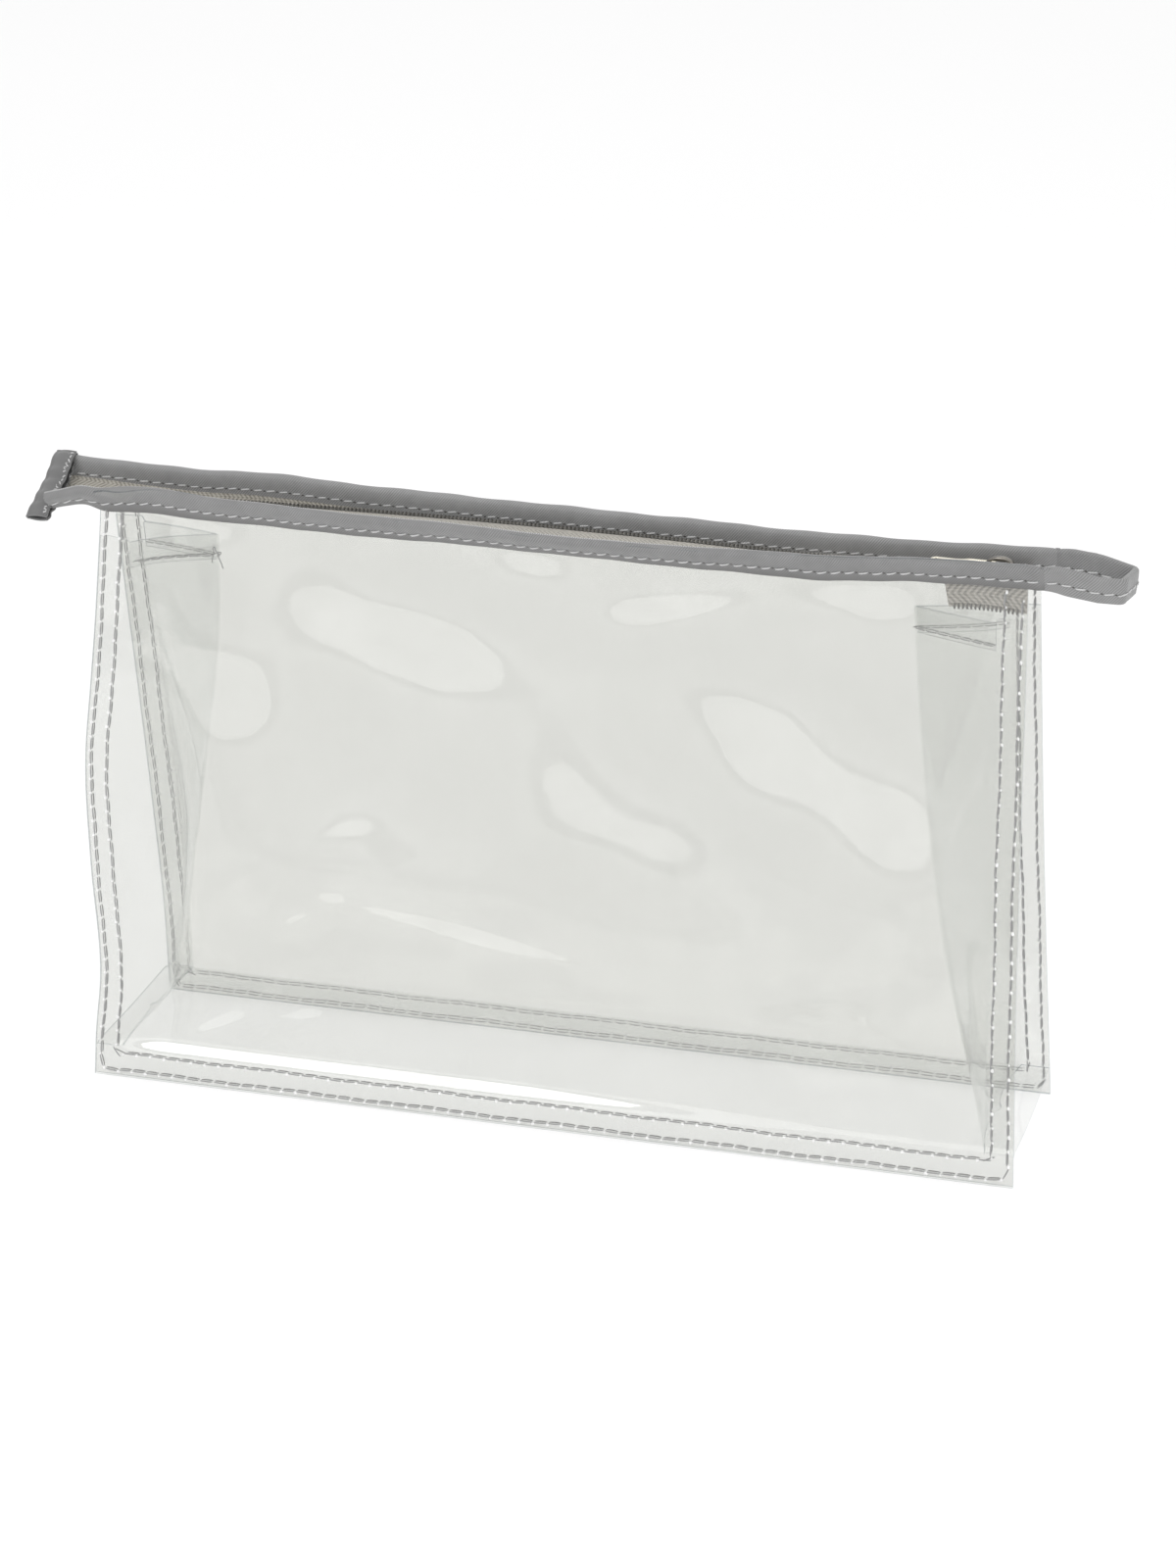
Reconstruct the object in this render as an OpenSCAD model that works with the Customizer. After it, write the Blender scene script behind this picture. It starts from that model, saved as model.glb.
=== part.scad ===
// Clear gusseted zip bag with a bound mouth, a coil zip and a carrying loop.
// Millimetres. X runs along the bag, Y to the rear and Z up. The origin is the
// centre of the bounding box's bottom, on the surface that the bag stands on.

/* [Bag] */
// Width of the front and rear panels
bag_w = 250; // [180:5:320]
// Depth over the two panels where the bag stands
base_d = 53; // [40:1:70]
// Height over the bindings
bag_h = 161.5; // [120:0.5:200]
// Thickness of the clear film
film_t = 0.5; // [0.3:0.1:0.6]

/* [Seams] */
// Width of the upright seam allowances
side_flange = 7.5; // [6:0.5:10]
// Height of the bottom seam allowances
base_flange = 8.5; // [7:0.5:12]
// Distance of the outer stitch row from the cut edge
outer_row = 1.7; // [1:0.1:2.5]
// Distance of the inner stitch row from the cut edge
inner_row = 6; // [4:0.1:6.5]
// Width of a sewing thread's row
thread_w = 0.5; // [0.3:0.1:0.8]
// How far a row of thread stands proud of the surface
thread_t = 0.25; // [0.1:0.05:0.4]
// Height of the top edge of the side gussets
hem_top = 146; // [100:1:146]
// Height of the turned hem of the side gussets
hem_h = 7; // [4:0.5:10]

/* [Mouth] */
// Depth over the two bindings at the mouth
mouth_d = 14.5; // [13:0.5:20]
// Height of the bindings' outer legs
binding_h = 7.3; // [6:0.1:8]
// Thickness of the folded binding fabric
fabric_t = 0.6; // [0.4:0.1:0.7]
// Reach of the end tab past the left edge of the panels
tab_reach = 12; // [9:0.5:16]
// Width of the end tab
tab_w = 5.5; // [4:0.5:7]
// Length of the end tab
tab_l = 22.7; // [18:0.1:26]
// Thickness of the end tab over what it wraps
tab_t = 4; // [3:0.5:5]
// Slope of the end tab, falling to the front
tab_slope = 32; // [0:1:40]

/* [Zip] */
// Thickness of the woven tapes
tape_t = 0.6; // [0.4:0.1:0.7]
// Width of the slot between the two tapes
tape_gap = 1.2; // [1.2:0.1:1.6]
// Drop from the top of the bindings to the tapes
tape_drop = 5.3; // [4.5:0.1:6]
// Width of one coil
coil_w = 1.8; // [1.5:0.1:2]
// Height of one coil
coil_h = 1.4; // [1:0.1:1.6]
// Width of the folded-back end of the front tape
tail_w = 21; // [12:1:30]
// Height of the folded-back end below the tape
tail_h = 7.4; // [5:0.1:9]

/* [Slider] */
// Length of the slider's body
slider_l = 8.6; // [8:0.1:10]
// Width of the slider's body
slider_w = 6.8; // [6.6:0.1:7.4]
// Thickness of the slider's plates
plate_t = 0.8; // [0.6:0.1:1]
// Free space between the slider and what it runs on
slide_gap = 0.3; // [0.2:0.05:0.4]
// Distance from the slider's nose to the right edge of the panels
slider_inset = 4; // [4:1:30]
// Radius of the crown's arch
crown_r = 4; // [3.8:0.1:4.4]
// Width of the crown
crown_w = 1.8; // [1.4:0.1:2]
// Radius of the bar that the pull turns on
bar_r = 0.45; // [0.4:0.05:0.5]
// Length of the pull from its bar to its tip
pull_l = 16; // [12:0.5:20]
// Width of the pull's tab
pull_w = 4.4; // [4:0.1:5]
// Radius of the eye in the pull
eye_r = 0.9; // [0.7:0.1:1]

/* [Loop] */
// Reach of the loop past the right edge of the panels
loop_reach = 24.75; // [18:0.25:60]
// Width over the two legs of the loop
loop_w = 12.4; // [11.6:0.1:12.8]
// Thickness of the folded loop strip
loop_t = 1.2; // [0.8:0.1:1.4]
// Largest angle that the loop bends to either side
loop_bend = 60; // [20:5:60]

/* [Hidden] */
$fn = 48;

front = -1;
rear = 1;
left = -1;
right = 1;

// The panels' frame is shifted so that the bounding box is centred on X.
half_w = bag_w / 2;
body_x = (tab_reach - loop_reach - thread_t) / 2;

// The panels lean together from the base to the mouth.
top_y = mouth_d / 2 - fabric_t;
lean = (base_d / 2 - top_y) / bag_h;

// The film of one bound edge ends under the fold of its binding.
film_top = bag_h - fabric_t;
tape_z = bag_h - tape_drop;
binding_low = bag_h - binding_h;
row_z = tape_z + 1.3;

// The gusset strip's folds
seam_x = half_w - side_flange;
strip_half = inner_y(base_flange);
fold_steps = 5;
leaf_t = film_t * 1.2;

// The bindings stop short of the loop's bending line by a round clearance.
tab_x = -half_w - tab_reach + tab_w;
loop_axis_x = half_w + 4.7;
loop_axis_z = bag_h - binding_h / 2;
loop_axis_r = binding_h / 2;
loop_space_r = loop_axis_r * sqrt(1 + pow(tan(loop_bend / 2) + 0.1, 2));

// The slider, closed at the right end
nose_x = half_w - slider_inset;
heel_x = nose_x - slider_l;
plate_z = tape_z + slide_gap;
keel_z = tape_z - tape_t - coil_h - slide_gap - plate_t;
crown_x = heel_x + 4.3;
bar_x = crown_x - 1.7;
bar_z = plate_z + plate_t + bar_r + 0.4;

// Half the outer depth of the bag at height z
function face_y(z) = base_d / 2 - lean * z;

// Half the depth between the gusset strip's two seam allowances at height z
function inner_y(z) = face_y(z) - 2 * film_t;

// A point of a panel's cross-section: inset from the outer face, and height
function at(side, inset, z) = [side * (face_y(z) - inset), z];

// How far along X the fold of a side gusset stands at height z
function fold_x(z) =
    seam_x - sqrt(max(0, pow(strip_half, 2) - pow(inner_y(z), 2)));

// Extrudes a YZ outline between two places along X.
module along_x(x0, x1)
    translate([body_x + x0, 0, 0])
        rotate([90, 0, 90])
            linear_extrude(x1 - x0)
                children();

// Extrudes an XZ outline between two places along Y.
module along_y(y0, y1)
    translate([body_x, y1, 0])
        rotate([90, 0, 0])
            linear_extrude(y1 - y0)
                children();

// A plate between two insets of a leaning wall.
module slab(side, x0, x1, inset0, inset1, z0, z1)
    along_x(x0, x1)
        polygon([at(side, inset0, z0), at(side, inset1, z0), at(side, inset1, z1), at(side, inset0, z1)]);

// One clear panel.
module panel(side)
    color([0.87, 0.88, 0.86, 0.45])
        slab(side, -half_w, half_w, 0, film_t, 0, film_top);

module front_panel() panel(front);

module rear_panel() panel(rear);

// A closed solid through rings of points at rising heights. caps splits a ring into triangles.
module loft(rings, caps) {
    count = len(rings[0]);
    last = (len(rings) - 1) * count;
    walls = [
        for (i = [0:len(rings) - 2], k = [0:count - 1])
            let (a = i * count + k, b = i * count + (k + 1) % count)
                each [[a, a + count, b + count], [a, b + count, b]]
    ];
    roof = [for (cap = caps) [last + cap[0], last + cap[2], last + cap[1]]];
    polyhedron([for (ring = rings) each ring], concat(walls, caps, roof));
}

// One side of the gusset: two seam allowances and the two leaves that fold inwards between them.
module side_gusset(hand)
    color([0.83, 0.84, 0.83, 0.5]) {
        hem_low = hem_top - hem_h;
        // The stations lie closer together near the base, where the fold opens fast.
        stations = [
            for (i = [0:fold_steps]) [base_flange + (hem_low - base_flange) * pow(i / fold_steps, 2), leaf_t],
            [hem_low + leaf_t, 2 * leaf_t],
            [hem_top, 2 * leaf_t]
        ];
        rings = [
            for (station = stations)
                let (
                    z = station[0], t = station[1], x = fold_x(z),
                    y0 = face_y(z) - film_t, y1 = inner_y(z)
                )
                    [
                        [half_w, -y0, z], [half_w, -y1, z], [seam_x, -y1, z], [x, 0, z], [seam_x, y1, z],
                        [half_w, y1, z], [half_w, y0, z], [seam_x - t, y0, z], [x - t, 0, z], [seam_x - t, -y0, z]
                    ]
        ];
        caps = [[0, 1, 2], [0, 2, 9], [2, 3, 8], [2, 8, 9], [3, 4, 7], [3, 7, 8], [4, 5, 6], [4, 6, 7]];
        translate([body_x, 0, 0])
            mirror([hand == left ? 1 : 0, 0, 0])
                loft(rings, caps);
    }

module left_gusset() side_gusset(left);

module right_gusset() side_gusset(right);

// The bottom of the gusset, with its two seam allowances turned down to the standing edges.
module base_gusset()
    color([0.83, 0.84, 0.83, 0.5])
        along_x(-half_w, half_w)
            polygon([
                at(front, film_t, 0), at(front, 2 * film_t, 0), at(front, 2 * film_t, base_flange - film_t),
                at(rear, 2 * film_t, base_flange - film_t), at(rear, 2 * film_t, 0), at(rear, film_t, 0),
                at(rear, film_t, base_flange), at(front, film_t, base_flange)
            ]);

// One binding: a strip folded over the panel and the tape, with a long outer leg.
module binding(side)
    color([0.55, 0.55, 0.55])
        difference() {
            along_x(tab_x, loop_axis_x)
                polygon([
                    at(side, -fabric_t, binding_low), at(side, 0, binding_low),
                    at(side, 0, film_top), at(side, film_t + tape_t, film_top),
                    at(side, film_t + tape_t, tape_z), at(side, film_t + tape_t + fabric_t, tape_z),
                    at(side, film_t + tape_t + fabric_t, bag_h), at(side, -fabric_t, bag_h)
                ]);
            along_y(-base_d, base_d)
                translate([loop_axis_x, loop_axis_z])
                    circle(loop_space_r);
        }

module front_binding() binding(front);

module rear_binding() binding(rear);

// The outline of the end tab's section, or of a layer that wraps it.
module tab_outline(extra = 0)
    translate([-1.5, bag_h - 3.5])
        rotate(tab_slope) {
            square([tab_l - tab_t, tab_t + 2 * extra], center = true);
            for (end = [-1, 1])
                translate([end * (tab_l - tab_t) / 2, 0])
                    circle(tab_t / 2 + extra);
        }

// The fabric tab that wraps the left ends of the zip and of the bindings.
module end_tab()
    color([0.53, 0.53, 0.53])
        along_x(tab_x - tab_w, tab_x)
            tab_outline();

// The plan of the loop, inset from its outer face.
module loop_plan(inset) {
    radius = loop_w / 2 - inset;
    centre_x = half_w + loop_reach - loop_w / 2;
    translate([centre_x, 0])
        circle(radius);
    translate([loop_axis_x - loop_axis_r, -radius])
        square([centre_x - loop_axis_x + loop_axis_r, 2 * radius]);
}

// A band that follows the loop between two insets and two heights.
module loop_band(inset0, inset1, z0, z1)
    translate([body_x, 0, z0])
        linear_extrude(z1 - z0)
            difference() {
                loop_plan(inset0);
                loop_plan(inset1);
                translate([loop_axis_x - loop_axis_r - 1, inset1 - loop_w / 2])
                    square([loop_axis_r + 2, loop_w - 2 * inset1]);
            }

// The carrying loop: the binding strip carried on and turned back.
module loop_handle()
    color([0.52, 0.52, 0.52])
        intersection() {
            loop_band(0, loop_t, binding_low, bag_h);
            along_y(-base_d, base_d) {
                translate([loop_axis_x, loop_axis_z])
                    circle(loop_axis_r);
                translate([loop_axis_x, binding_low])
                    square([loop_reach, binding_h]);
            }
        }

// One woven tape: sewn to the panel, then turned level to the middle of the mouth.
module tape(side)
    color([0.66, 0.64, 0.6])
        along_x(tab_x, half_w)
            polygon([
                at(side, film_t, tape_z - tape_t), at(side, film_t, film_top),
                at(side, film_t + tape_t, film_top), at(side, film_t + tape_t, tape_z),
                [side * tape_gap / 2, tape_z], [side * tape_gap / 2, tape_z - tape_t]
            ]);

// The front tape also carries the end that is folded back behind the panel.
module front_tape() {
    tape(front);
    color([0.6, 0.59, 0.56])
        slab(front, half_w - tail_w, half_w, film_t, film_t + tape_t, tape_z - tail_h, tape_z - tape_t);
}

module rear_tape() tape(rear);

// One coil of the zip, as the band that its turns fill under the tape's edge.
module coil(side)
    color([0.5, 0.49, 0.47])
        along_x(tab_x, half_w)
            translate([side * (tape_gap + coil_w) / 2, tape_z - tape_t - coil_h / 2]) {
                square([coil_w - coil_h, coil_h], center = true);
                for (edge = [-1, 1])
                    translate([edge * (coil_w - coil_h) / 2, 0])
                        circle(coil_h / 2);
                translate([0, coil_h / 4])
                    square([coil_w - coil_h / 4, coil_h / 2], center = true);
            }

module front_coil() coil(front);

module rear_coil() coil(rear);

// The plan of the slider's plates: broad at the nose and round at the heel.
module plate_plan() {
    heel_r = slider_w / 2 - 0.4;
    nose_r = 1.2;
    translate([heel_x + heel_r, 0])
        circle(heel_r);
    translate([heel_x + heel_r, -slider_w / 2 + 0.4])
        square([slider_l - heel_r - nose_r, slider_w - 0.8]);
    translate([nose_x - 4, -slider_w / 2])
        square([4 - nose_r, slider_w]);
    for (side = [-1, 1])
        translate([nose_x - nose_r, side * (slider_w / 2 - nose_r)])
            circle(nose_r);
    translate([nose_x - 2 * nose_r, nose_r - slider_w / 2])
        square([2 * nose_r, slider_w - 2 * nose_r]);
}

// The slider: a plate over the tapes, a keel under the coils and the wedge between.
module slider_body() {
    lip_w = 0.4;
    lip_top = tape_z - tape_t - slide_gap;
    wedge_w = tape_gap - 2 * slide_gap;
    color([0.72, 0.7, 0.66]) {
        translate([body_x, 0, plate_z])
            linear_extrude(plate_t)
                plate_plan();
        translate([body_x, 0, keel_z])
            linear_extrude(plate_t)
                plate_plan();
        translate([body_x + nose_x - 3, -wedge_w / 2, keel_z + plate_t])
            cube([2.4, wedge_w, plate_z - keel_z - plate_t]);
        for (side = [-1, 1])
            translate([body_x + nose_x - 4, side * (slider_w - lip_w) / 2 - lip_w / 2, keel_z + plate_t])
                cube([2.8, lip_w, lip_top - keel_z - plate_t]);
    }
}

// The arched bridge on the slider that the pull's bar passes under.
module slider_crown()
    color([0.36, 0.34, 0.31])
        along_y(-crown_w / 2, crown_w / 2)
            difference() {
                translate([crown_x, plate_z + plate_t - 0.7])
                    circle(crown_r);
                translate([crown_x - 2 * crown_r, plate_z + plate_t - 3 * crown_r])
                    square([4 * crown_r, 3 * crown_r]);
                translate([crown_x - 2.3, plate_z + plate_t - 1])
                    square([4.6, bar_z + bar_r + 0.3 - plate_z - plate_t + 1]);
            }

// The pull: a bar, two cheeks that pass the crown, and a slim tab with an eye.
module pull_tab() {
    window_l = 7.2;
    window_w = crown_w + 2 * slide_gap;
    cheek_w = (pull_w - window_w) / 2;
    tab_end_r = 1.6;
    tip_x = bar_x - pull_l;
    eye_x = tip_x + tab_end_r;
    color([0.8, 0.77, 0.68]) {
        translate([body_x + bar_x, pull_w / 2, bar_z])
            rotate([90, 0, 0])
                cylinder(r = bar_r, h = pull_w);
        difference() {
            translate([body_x, 0, bar_z - bar_r])
                linear_extrude(2 * bar_r)
                    difference() {
                        union() {
                            translate([bar_x - window_l, -pull_w / 2])
                                square([window_l, pull_w]);
                            translate([eye_x, -tab_end_r])
                                square([pull_l - window_l - tab_end_r + 1, 2 * tab_end_r]);
                            translate([eye_x, 0])
                                circle(tab_end_r);
                        }
                        translate([bar_x - window_l + cheek_w, -window_w / 2])
                            square([window_l, window_w]);
                    }
            translate([body_x + eye_x, 0, bar_z - 2 * bar_r])
                cylinder(r = eye_r, h = 4 * bar_r);
        }
    }
}

// A straight row of thread on the outer face of a wall, or on an inner layer's face.
module upright_row(side, x, z0, z1)
    slab(side, x - thread_w / 2, x + thread_w / 2, -thread_t, 0, z0, z1);

module level_row(side, x0, x1, z, inset = 0)
    slab(side, x0, x1, inset - thread_t, inset, z - thread_w / 2, z + thread_w / 2);

// The two rows that sew one panel to the gusset strip.
module seam_thread(side)
    color([0.72, 0.72, 0.72])
        for (row = [outer_row, inner_row]) {
            low = row + (row == inner_row ? base_flange - side_flange : 0);
            level_row(side, row - half_w, half_w - row, low);
            for (hand = [left, right])
                upright_row(side, hand * (half_w - row), low, binding_low);
        }

module front_seam_thread() seam_thread(front);

module rear_seam_thread() seam_thread(rear);

// The row through one binding, seen on its outer and its inner leg.
module binding_thread(side)
    color([0.78, 0.78, 0.78]) {
        level_row(side, tab_x, half_w, row_z, -fabric_t);
        level_row(side, tab_x, half_w, row_z, film_t + tape_t + fabric_t + thread_t);
    }

module front_binding_thread() binding_thread(front);

module rear_binding_thread() binding_thread(rear);

// The row that holds one gusset's hem, on the outer face of both leaves.
module hem_thread(hand)
    color([0.7, 0.7, 0.7]) {
        row = hem_top - hem_h + 1.5;
        low = hem_top - hem_h + leaf_t;
        rise = (fold_x(hem_top) - fold_x(low)) / (hem_top - low);
        // The leaf meets the row at a slant, so these two are longer along X than square to its face.
        off = 0.45;
        back = off + 2.8 * thread_t;
        rings = [
            for (z = [row, row + thread_w])
                let (x = fold_x(low) + rise * (z - low), y = inner_y(z))
                    [
                        [seam_x + back, -y, z], [x + back, 0, z], [seam_x + back, y, z],
                        [seam_x + off, y, z], [x + off, 0, z], [seam_x + off, -y, z]
                    ]
        ];
        translate([body_x, 0, 0])
            mirror([hand == left ? 1 : 0, 0, 0])
                loft(rings, [[0, 1, 4], [0, 4, 5], [1, 2, 3], [1, 3, 4]]);
    }

module left_hem_thread() hem_thread(left);

module right_hem_thread() hem_thread(right);

// The row along the inner edge of the end tab.
module end_tab_thread()
    color([0.76, 0.76, 0.76])
        along_x(tab_x - 1.2, tab_x - 1.2 + thread_w)
            difference() {
                tab_outline(thread_t);
                tab_outline();
            }

// The row round the loop, seen on its outer face.
module loop_thread()
    color([0.78, 0.78, 0.78])
        intersection() {
            loop_band(-thread_t, 0, row_z - thread_w / 2, row_z + thread_w / 2);
            translate([body_x + loop_axis_x, -base_d, 0])
                cube([2 * loop_reach, 2 * base_d, 2 * bag_h]);
        }

front_panel();
rear_panel();
left_gusset();
base_gusset();
right_gusset();
front_binding();
rear_binding();
end_tab();
loop_handle();
front_tape();
rear_tape();
front_coil();
rear_coil();
slider_body();
slider_crown();
pull_tab();
front_seam_thread();
rear_seam_thread();
front_binding_thread();
rear_binding_thread();
left_hem_thread();
right_hem_thread();
end_tab_thread();
loop_thread();
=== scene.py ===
import math

import bpy
import numpy as np
from mathutils import Matrix, Vector


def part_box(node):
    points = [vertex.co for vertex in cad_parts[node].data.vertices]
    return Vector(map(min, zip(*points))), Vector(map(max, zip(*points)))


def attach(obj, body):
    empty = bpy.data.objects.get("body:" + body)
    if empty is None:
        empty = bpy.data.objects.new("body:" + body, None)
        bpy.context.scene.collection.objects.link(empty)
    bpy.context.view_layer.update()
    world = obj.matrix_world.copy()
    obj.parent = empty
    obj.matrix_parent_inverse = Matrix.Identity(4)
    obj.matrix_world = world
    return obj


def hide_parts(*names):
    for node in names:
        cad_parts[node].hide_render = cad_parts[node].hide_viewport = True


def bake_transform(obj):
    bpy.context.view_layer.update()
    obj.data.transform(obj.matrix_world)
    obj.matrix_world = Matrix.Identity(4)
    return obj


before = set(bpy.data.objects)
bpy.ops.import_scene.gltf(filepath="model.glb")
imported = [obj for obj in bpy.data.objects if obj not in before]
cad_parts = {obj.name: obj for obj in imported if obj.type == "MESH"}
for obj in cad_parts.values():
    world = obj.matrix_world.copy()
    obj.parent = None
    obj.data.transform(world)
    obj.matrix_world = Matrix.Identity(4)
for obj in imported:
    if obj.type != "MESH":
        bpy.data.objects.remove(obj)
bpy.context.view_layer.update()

MM = 0.001


# ---------------------------------------------------------------- sizes

panel_low, panel_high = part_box("front_panel")
binding_low, binding_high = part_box("front_binding")
gusset_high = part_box("right_gusset")[1]
base_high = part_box("base_gusset")[1]
tab_low, tab_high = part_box("end_tab")
slider_low, slider_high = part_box("slider_body")
crown_low, crown_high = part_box("slider_crown")
pull_low, pull_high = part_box("pull_tab")

MIDDLE_X = (panel_low[0] + panel_high[0]) / 2
HALF_W = (panel_high[0] - panel_low[0]) / 2
FILM_T = 0.5 * MM
FABRIC_T = 0.6 * MM
TAPE_T = 0.5 * MM
BASE_Y = -panel_low[1]
FILM_TOP = panel_high[2]
MOUTH_TOP = binding_high[2]
BINDING_LOW = binding_low[2]
LEAN = (BASE_Y + panel_high[1] - FILM_T) / FILM_TOP
TAPE_Z = MOUTH_TOP - 5.3 * MM
HEM_TOP = gusset_high[2]
SEAM_X = HALF_W - 7.5 * MM
BASE_Z = base_high[2]
OUTER_ROW = 1.7 * MM
INNER_ROW = 6.0 * MM
HEM_H = 7.0 * MM
TOOTH_PITCH = 1.05 * MM
FRONT, REAR = -1, 1
LEFT, RIGHT = -1, 1


def face_y(z):
    """Half the depth of the bag over its panels at height z."""
    return BASE_Y - LEAN * z


def smooth(x, low, high):
    """Rises from 0 at low to 1 at high without a corner."""
    t = np.clip((x - low) / (high - low), 0, 1)
    return t * t * (3 - 2 * t)


def along(x, stations):
    """A value that follows (place, value) stations smoothly."""
    places = np.array([s[0] for s in stations], float)
    values = np.array([s[1] for s in stations], float)
    i = np.clip(np.searchsorted(places, x, side="right") - 1, 0, len(places) - 2)
    t = np.clip((x - places[i]) / (places[i + 1] - places[i]), 0, 1)
    return values[i] + (values[i + 1] - values[i]) * t * t * (3 - 2 * t)


# ---------------------------------------------------------------- shader maths

class Value:
    """A shader socket that sums and products are written with."""

    def __init__(self, shader, socket):
        self.shader, self.socket = shader, socket

    def _maths(self, operation, first, second):
        return self.shader.node("ShaderNodeMath", {"operation": operation}, {0: first, 1: second})

    def __add__(self, other):
        return self._maths("ADD", self, other)

    def __sub__(self, other):
        return self._maths("SUBTRACT", self, other)

    def __rsub__(self, other):
        return self._maths("SUBTRACT", other, self)

    def __mul__(self, other):
        return self._maths("MULTIPLY", self, other)

    def __truediv__(self, other):
        return self._maths("DIVIDE", self, other)

    def __pow__(self, other):
        return self._maths("POWER", self, other)

    __radd__, __rmul__ = __add__, __mul__


class Shader:
    """One node material and the method that adds any node to it."""

    def __init__(self, name):
        self.material = bpy.data.materials.new(name)
        self.material.use_nodes = True
        self.tree = self.material.node_tree
        self.tree.nodes.clear()
        self.output = self.tree.nodes.new("ShaderNodeOutputMaterial")

    def node(self, kind, settings=None, values=None, out=0):
        """Adds a node, makes its settings, then fills its sockets, and returns one of its outputs."""
        node = self.tree.nodes.new(kind)
        for key, setting in (settings or {}).items():
            if key == "stops":
                ramp = node.color_ramp
                for place, colour in setting[2:]:
                    ramp.elements.new(place).color = colour
                for element, (place, colour) in zip(ramp.elements, sorted(setting)):
                    element.position, element.color = place, colour
            else:
                setattr(node, key, setting)
        for key, value in (values or {}).items():
            if isinstance(value, Value):
                self.tree.links.new(value.socket, node.inputs[key])
            else:
                node.inputs[key].default_value = value
        return Value(self, node.outputs[out])

    def place(self):
        """The object coordinates, in metres."""
        return self.node("ShaderNodeTexCoord", out="Object")

    def parts(self, vector):
        """The three parts of a vector."""
        split = self.node("ShaderNodeSeparateXYZ", values={0: vector}).socket.node
        return [Value(self, output) for output in split.outputs]

    def thread_grid(self):
        """The piece's own map: metres along it and across it."""
        return self.parts(self.node("ShaderNodeUVMap", {"uv_map": "cut"}))[:2]

    def noise(self, vector, scale, detail=3.0, rough=0.5, distortion=0.0):
        return self.node(
            "ShaderNodeTexNoise", {},
            {"Vector": vector, "Scale": scale, "Detail": detail, "Roughness": rough, "Distortion": distortion},
        )

    def wave(self, value):
        """A sine of a value in turns, from 0 to 1."""
        return self.node("ShaderNodeMath", {"operation": "SINE"}, {0: value * (2 * math.pi)}) * 0.5 + 0.5

    def span(self, value, low, high, to_low=0.0, to_high=1.0):
        return self.node(
            "ShaderNodeMapRange", {"clamp": True},
            {"Value": value, "From Min": low, "From Max": high, "To Min": to_low, "To Max": to_high},
        )

    def blend(self, share, first, second):
        """Two colours mixed by a share."""
        mixed = self.node("ShaderNodeMix", {"data_type": "RGBA"}).socket.node
        for key, value in ((0, share), (6, first), (7, second)):
            if isinstance(value, Value):
                self.tree.links.new(value.socket, mixed.inputs[key])
            else:
                mixed.inputs[key].default_value = value
        return Value(self, mixed.outputs[2])

    def bump(self, height, distance, strength=1.0):
        return self.node("ShaderNodeBump", {}, {"Height": height, "Distance": distance, "Strength": strength})

    def principled(self, **values):
        names = {key: key.replace("_", " ") for key in values}
        return self.node("ShaderNodeBsdfPrincipled", {}, {names[key]: value for key, value in values.items()})

    def finish(self, surface):
        self.tree.links.new(surface.socket, self.output.inputs["Surface"])
        return self.material


def grey(level, warm=0.0):
    """A near-neutral colour. warm takes a little blue out of it."""
    return (level, level * (1 - 0.3 * warm), level * (1 - warm), 1.0)


def clear_film(name, tint, haze):
    """Soft clear film: a tinted view through it, and a mirror as strong as its surface reflects."""
    s = Shader(name)
    place = s.place()
    drift = s.noise(place, 22.0, 2.0)
    peel = s.noise(place, 260.0, 2.0)
    cloud = s.noise(place, 38.0, 4.0, 0.6, 0.6)
    bend = s.bump(drift * 1.0 + peel * 0.02, 0.0016, 0.35)
    mirror = s.principled(
        Base_Color=s.blend(cloud, (0.86, 0.87, 0.86, 1), (0.99, 0.99, 0.98, 1)),
        Metallic=1.0,
        Roughness=s.span(cloud, 0.35, 0.7, 0.025, 0.075),
        Normal=bend,
    )
    through = s.node("ShaderNodeBsdfTransparent", {}, {"Color": tint})
    facing = s.node("ShaderNodeLayerWeight", {}, {"Blend": 0.5, "Normal": bend}, out="Facing")
    share = s.span(facing**5.0 * 0.96 + 0.045 + s.span(cloud, 0.35, 0.75, 0.0, haze), 0.0, 1.0)
    return s.finish(s.node("ShaderNodeMixShader", {}, {0: share, 1: through, 2: mirror}))


def twill(name, level, pitch, slope, relief, shine=0.35, fold=None, foot=None):
    """Ribbon woven in a twill: fine slanting ridges on the piece's own map, with a painted highlight over the fold and
    painted shade at the foot where asked.
    """
    s = Shader(name)
    length, width = s.thread_grid()
    ridges = s.wave((length + width * slope) / pitch)
    picks = s.wave((length * slope - width) / (pitch * 0.55))
    place = s.place()
    slubs = s.noise(place, 420.0, 2.0)
    wear = s.noise(place, 60.0, 4.0, 0.6)
    weave = ridges * 0.7 + picks * 0.3
    base = s.blend(weave, grey(level * 0.58), grey(level * 1.3))
    base = s.blend(s.span(slubs, 0.35, 0.75, 0.0, 0.35), base, grey(level * 0.7))
    base = s.blend(s.span(wear, 0.45, 0.8, 0.0, 0.3), base, grey(level * 1.35))
    if foot:
        # Painted shade: the edge under the seam is coloured darker where the ribbon tucks under.
        base = s.blend(s.span(width, foot[0] * MM, foot[1] * MM, 0.0, 0.75), base, grey(level * 0.55, 0.03))
    if fold:
        # Painted highlight: the weave over the fold is coloured as a row of light dots, with darker gaps between them.
        low, high = fold[0] * MM, fold[1] * MM
        over = s.span(width, low, low + 0.25 * MM) * (1 - s.span(width, high - 0.25 * MM, high))
        fold_glint_dots = s.span(s.wave(length / (0.58 * MM)), 0.4, 0.8)
        base = s.blend(over * fold_glint_dots * 0.75, base, grey(min(level * 3.4, 0.8)))
        base = s.blend(over * (1 - fold_glint_dots) * 0.35, base, grey(level * 0.6))
    surface = s.principled(
        Base_Color=base,
        Roughness=s.span(weave, 0.0, 1.0, 0.72, 0.5),
        Sheen_Weight=shine,
        Sheen_Roughness=0.4,
        Normal=s.bump(weave * 0.8 + slubs * 0.2, relief, 0.9),
    )
    return s.finish(surface)


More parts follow.
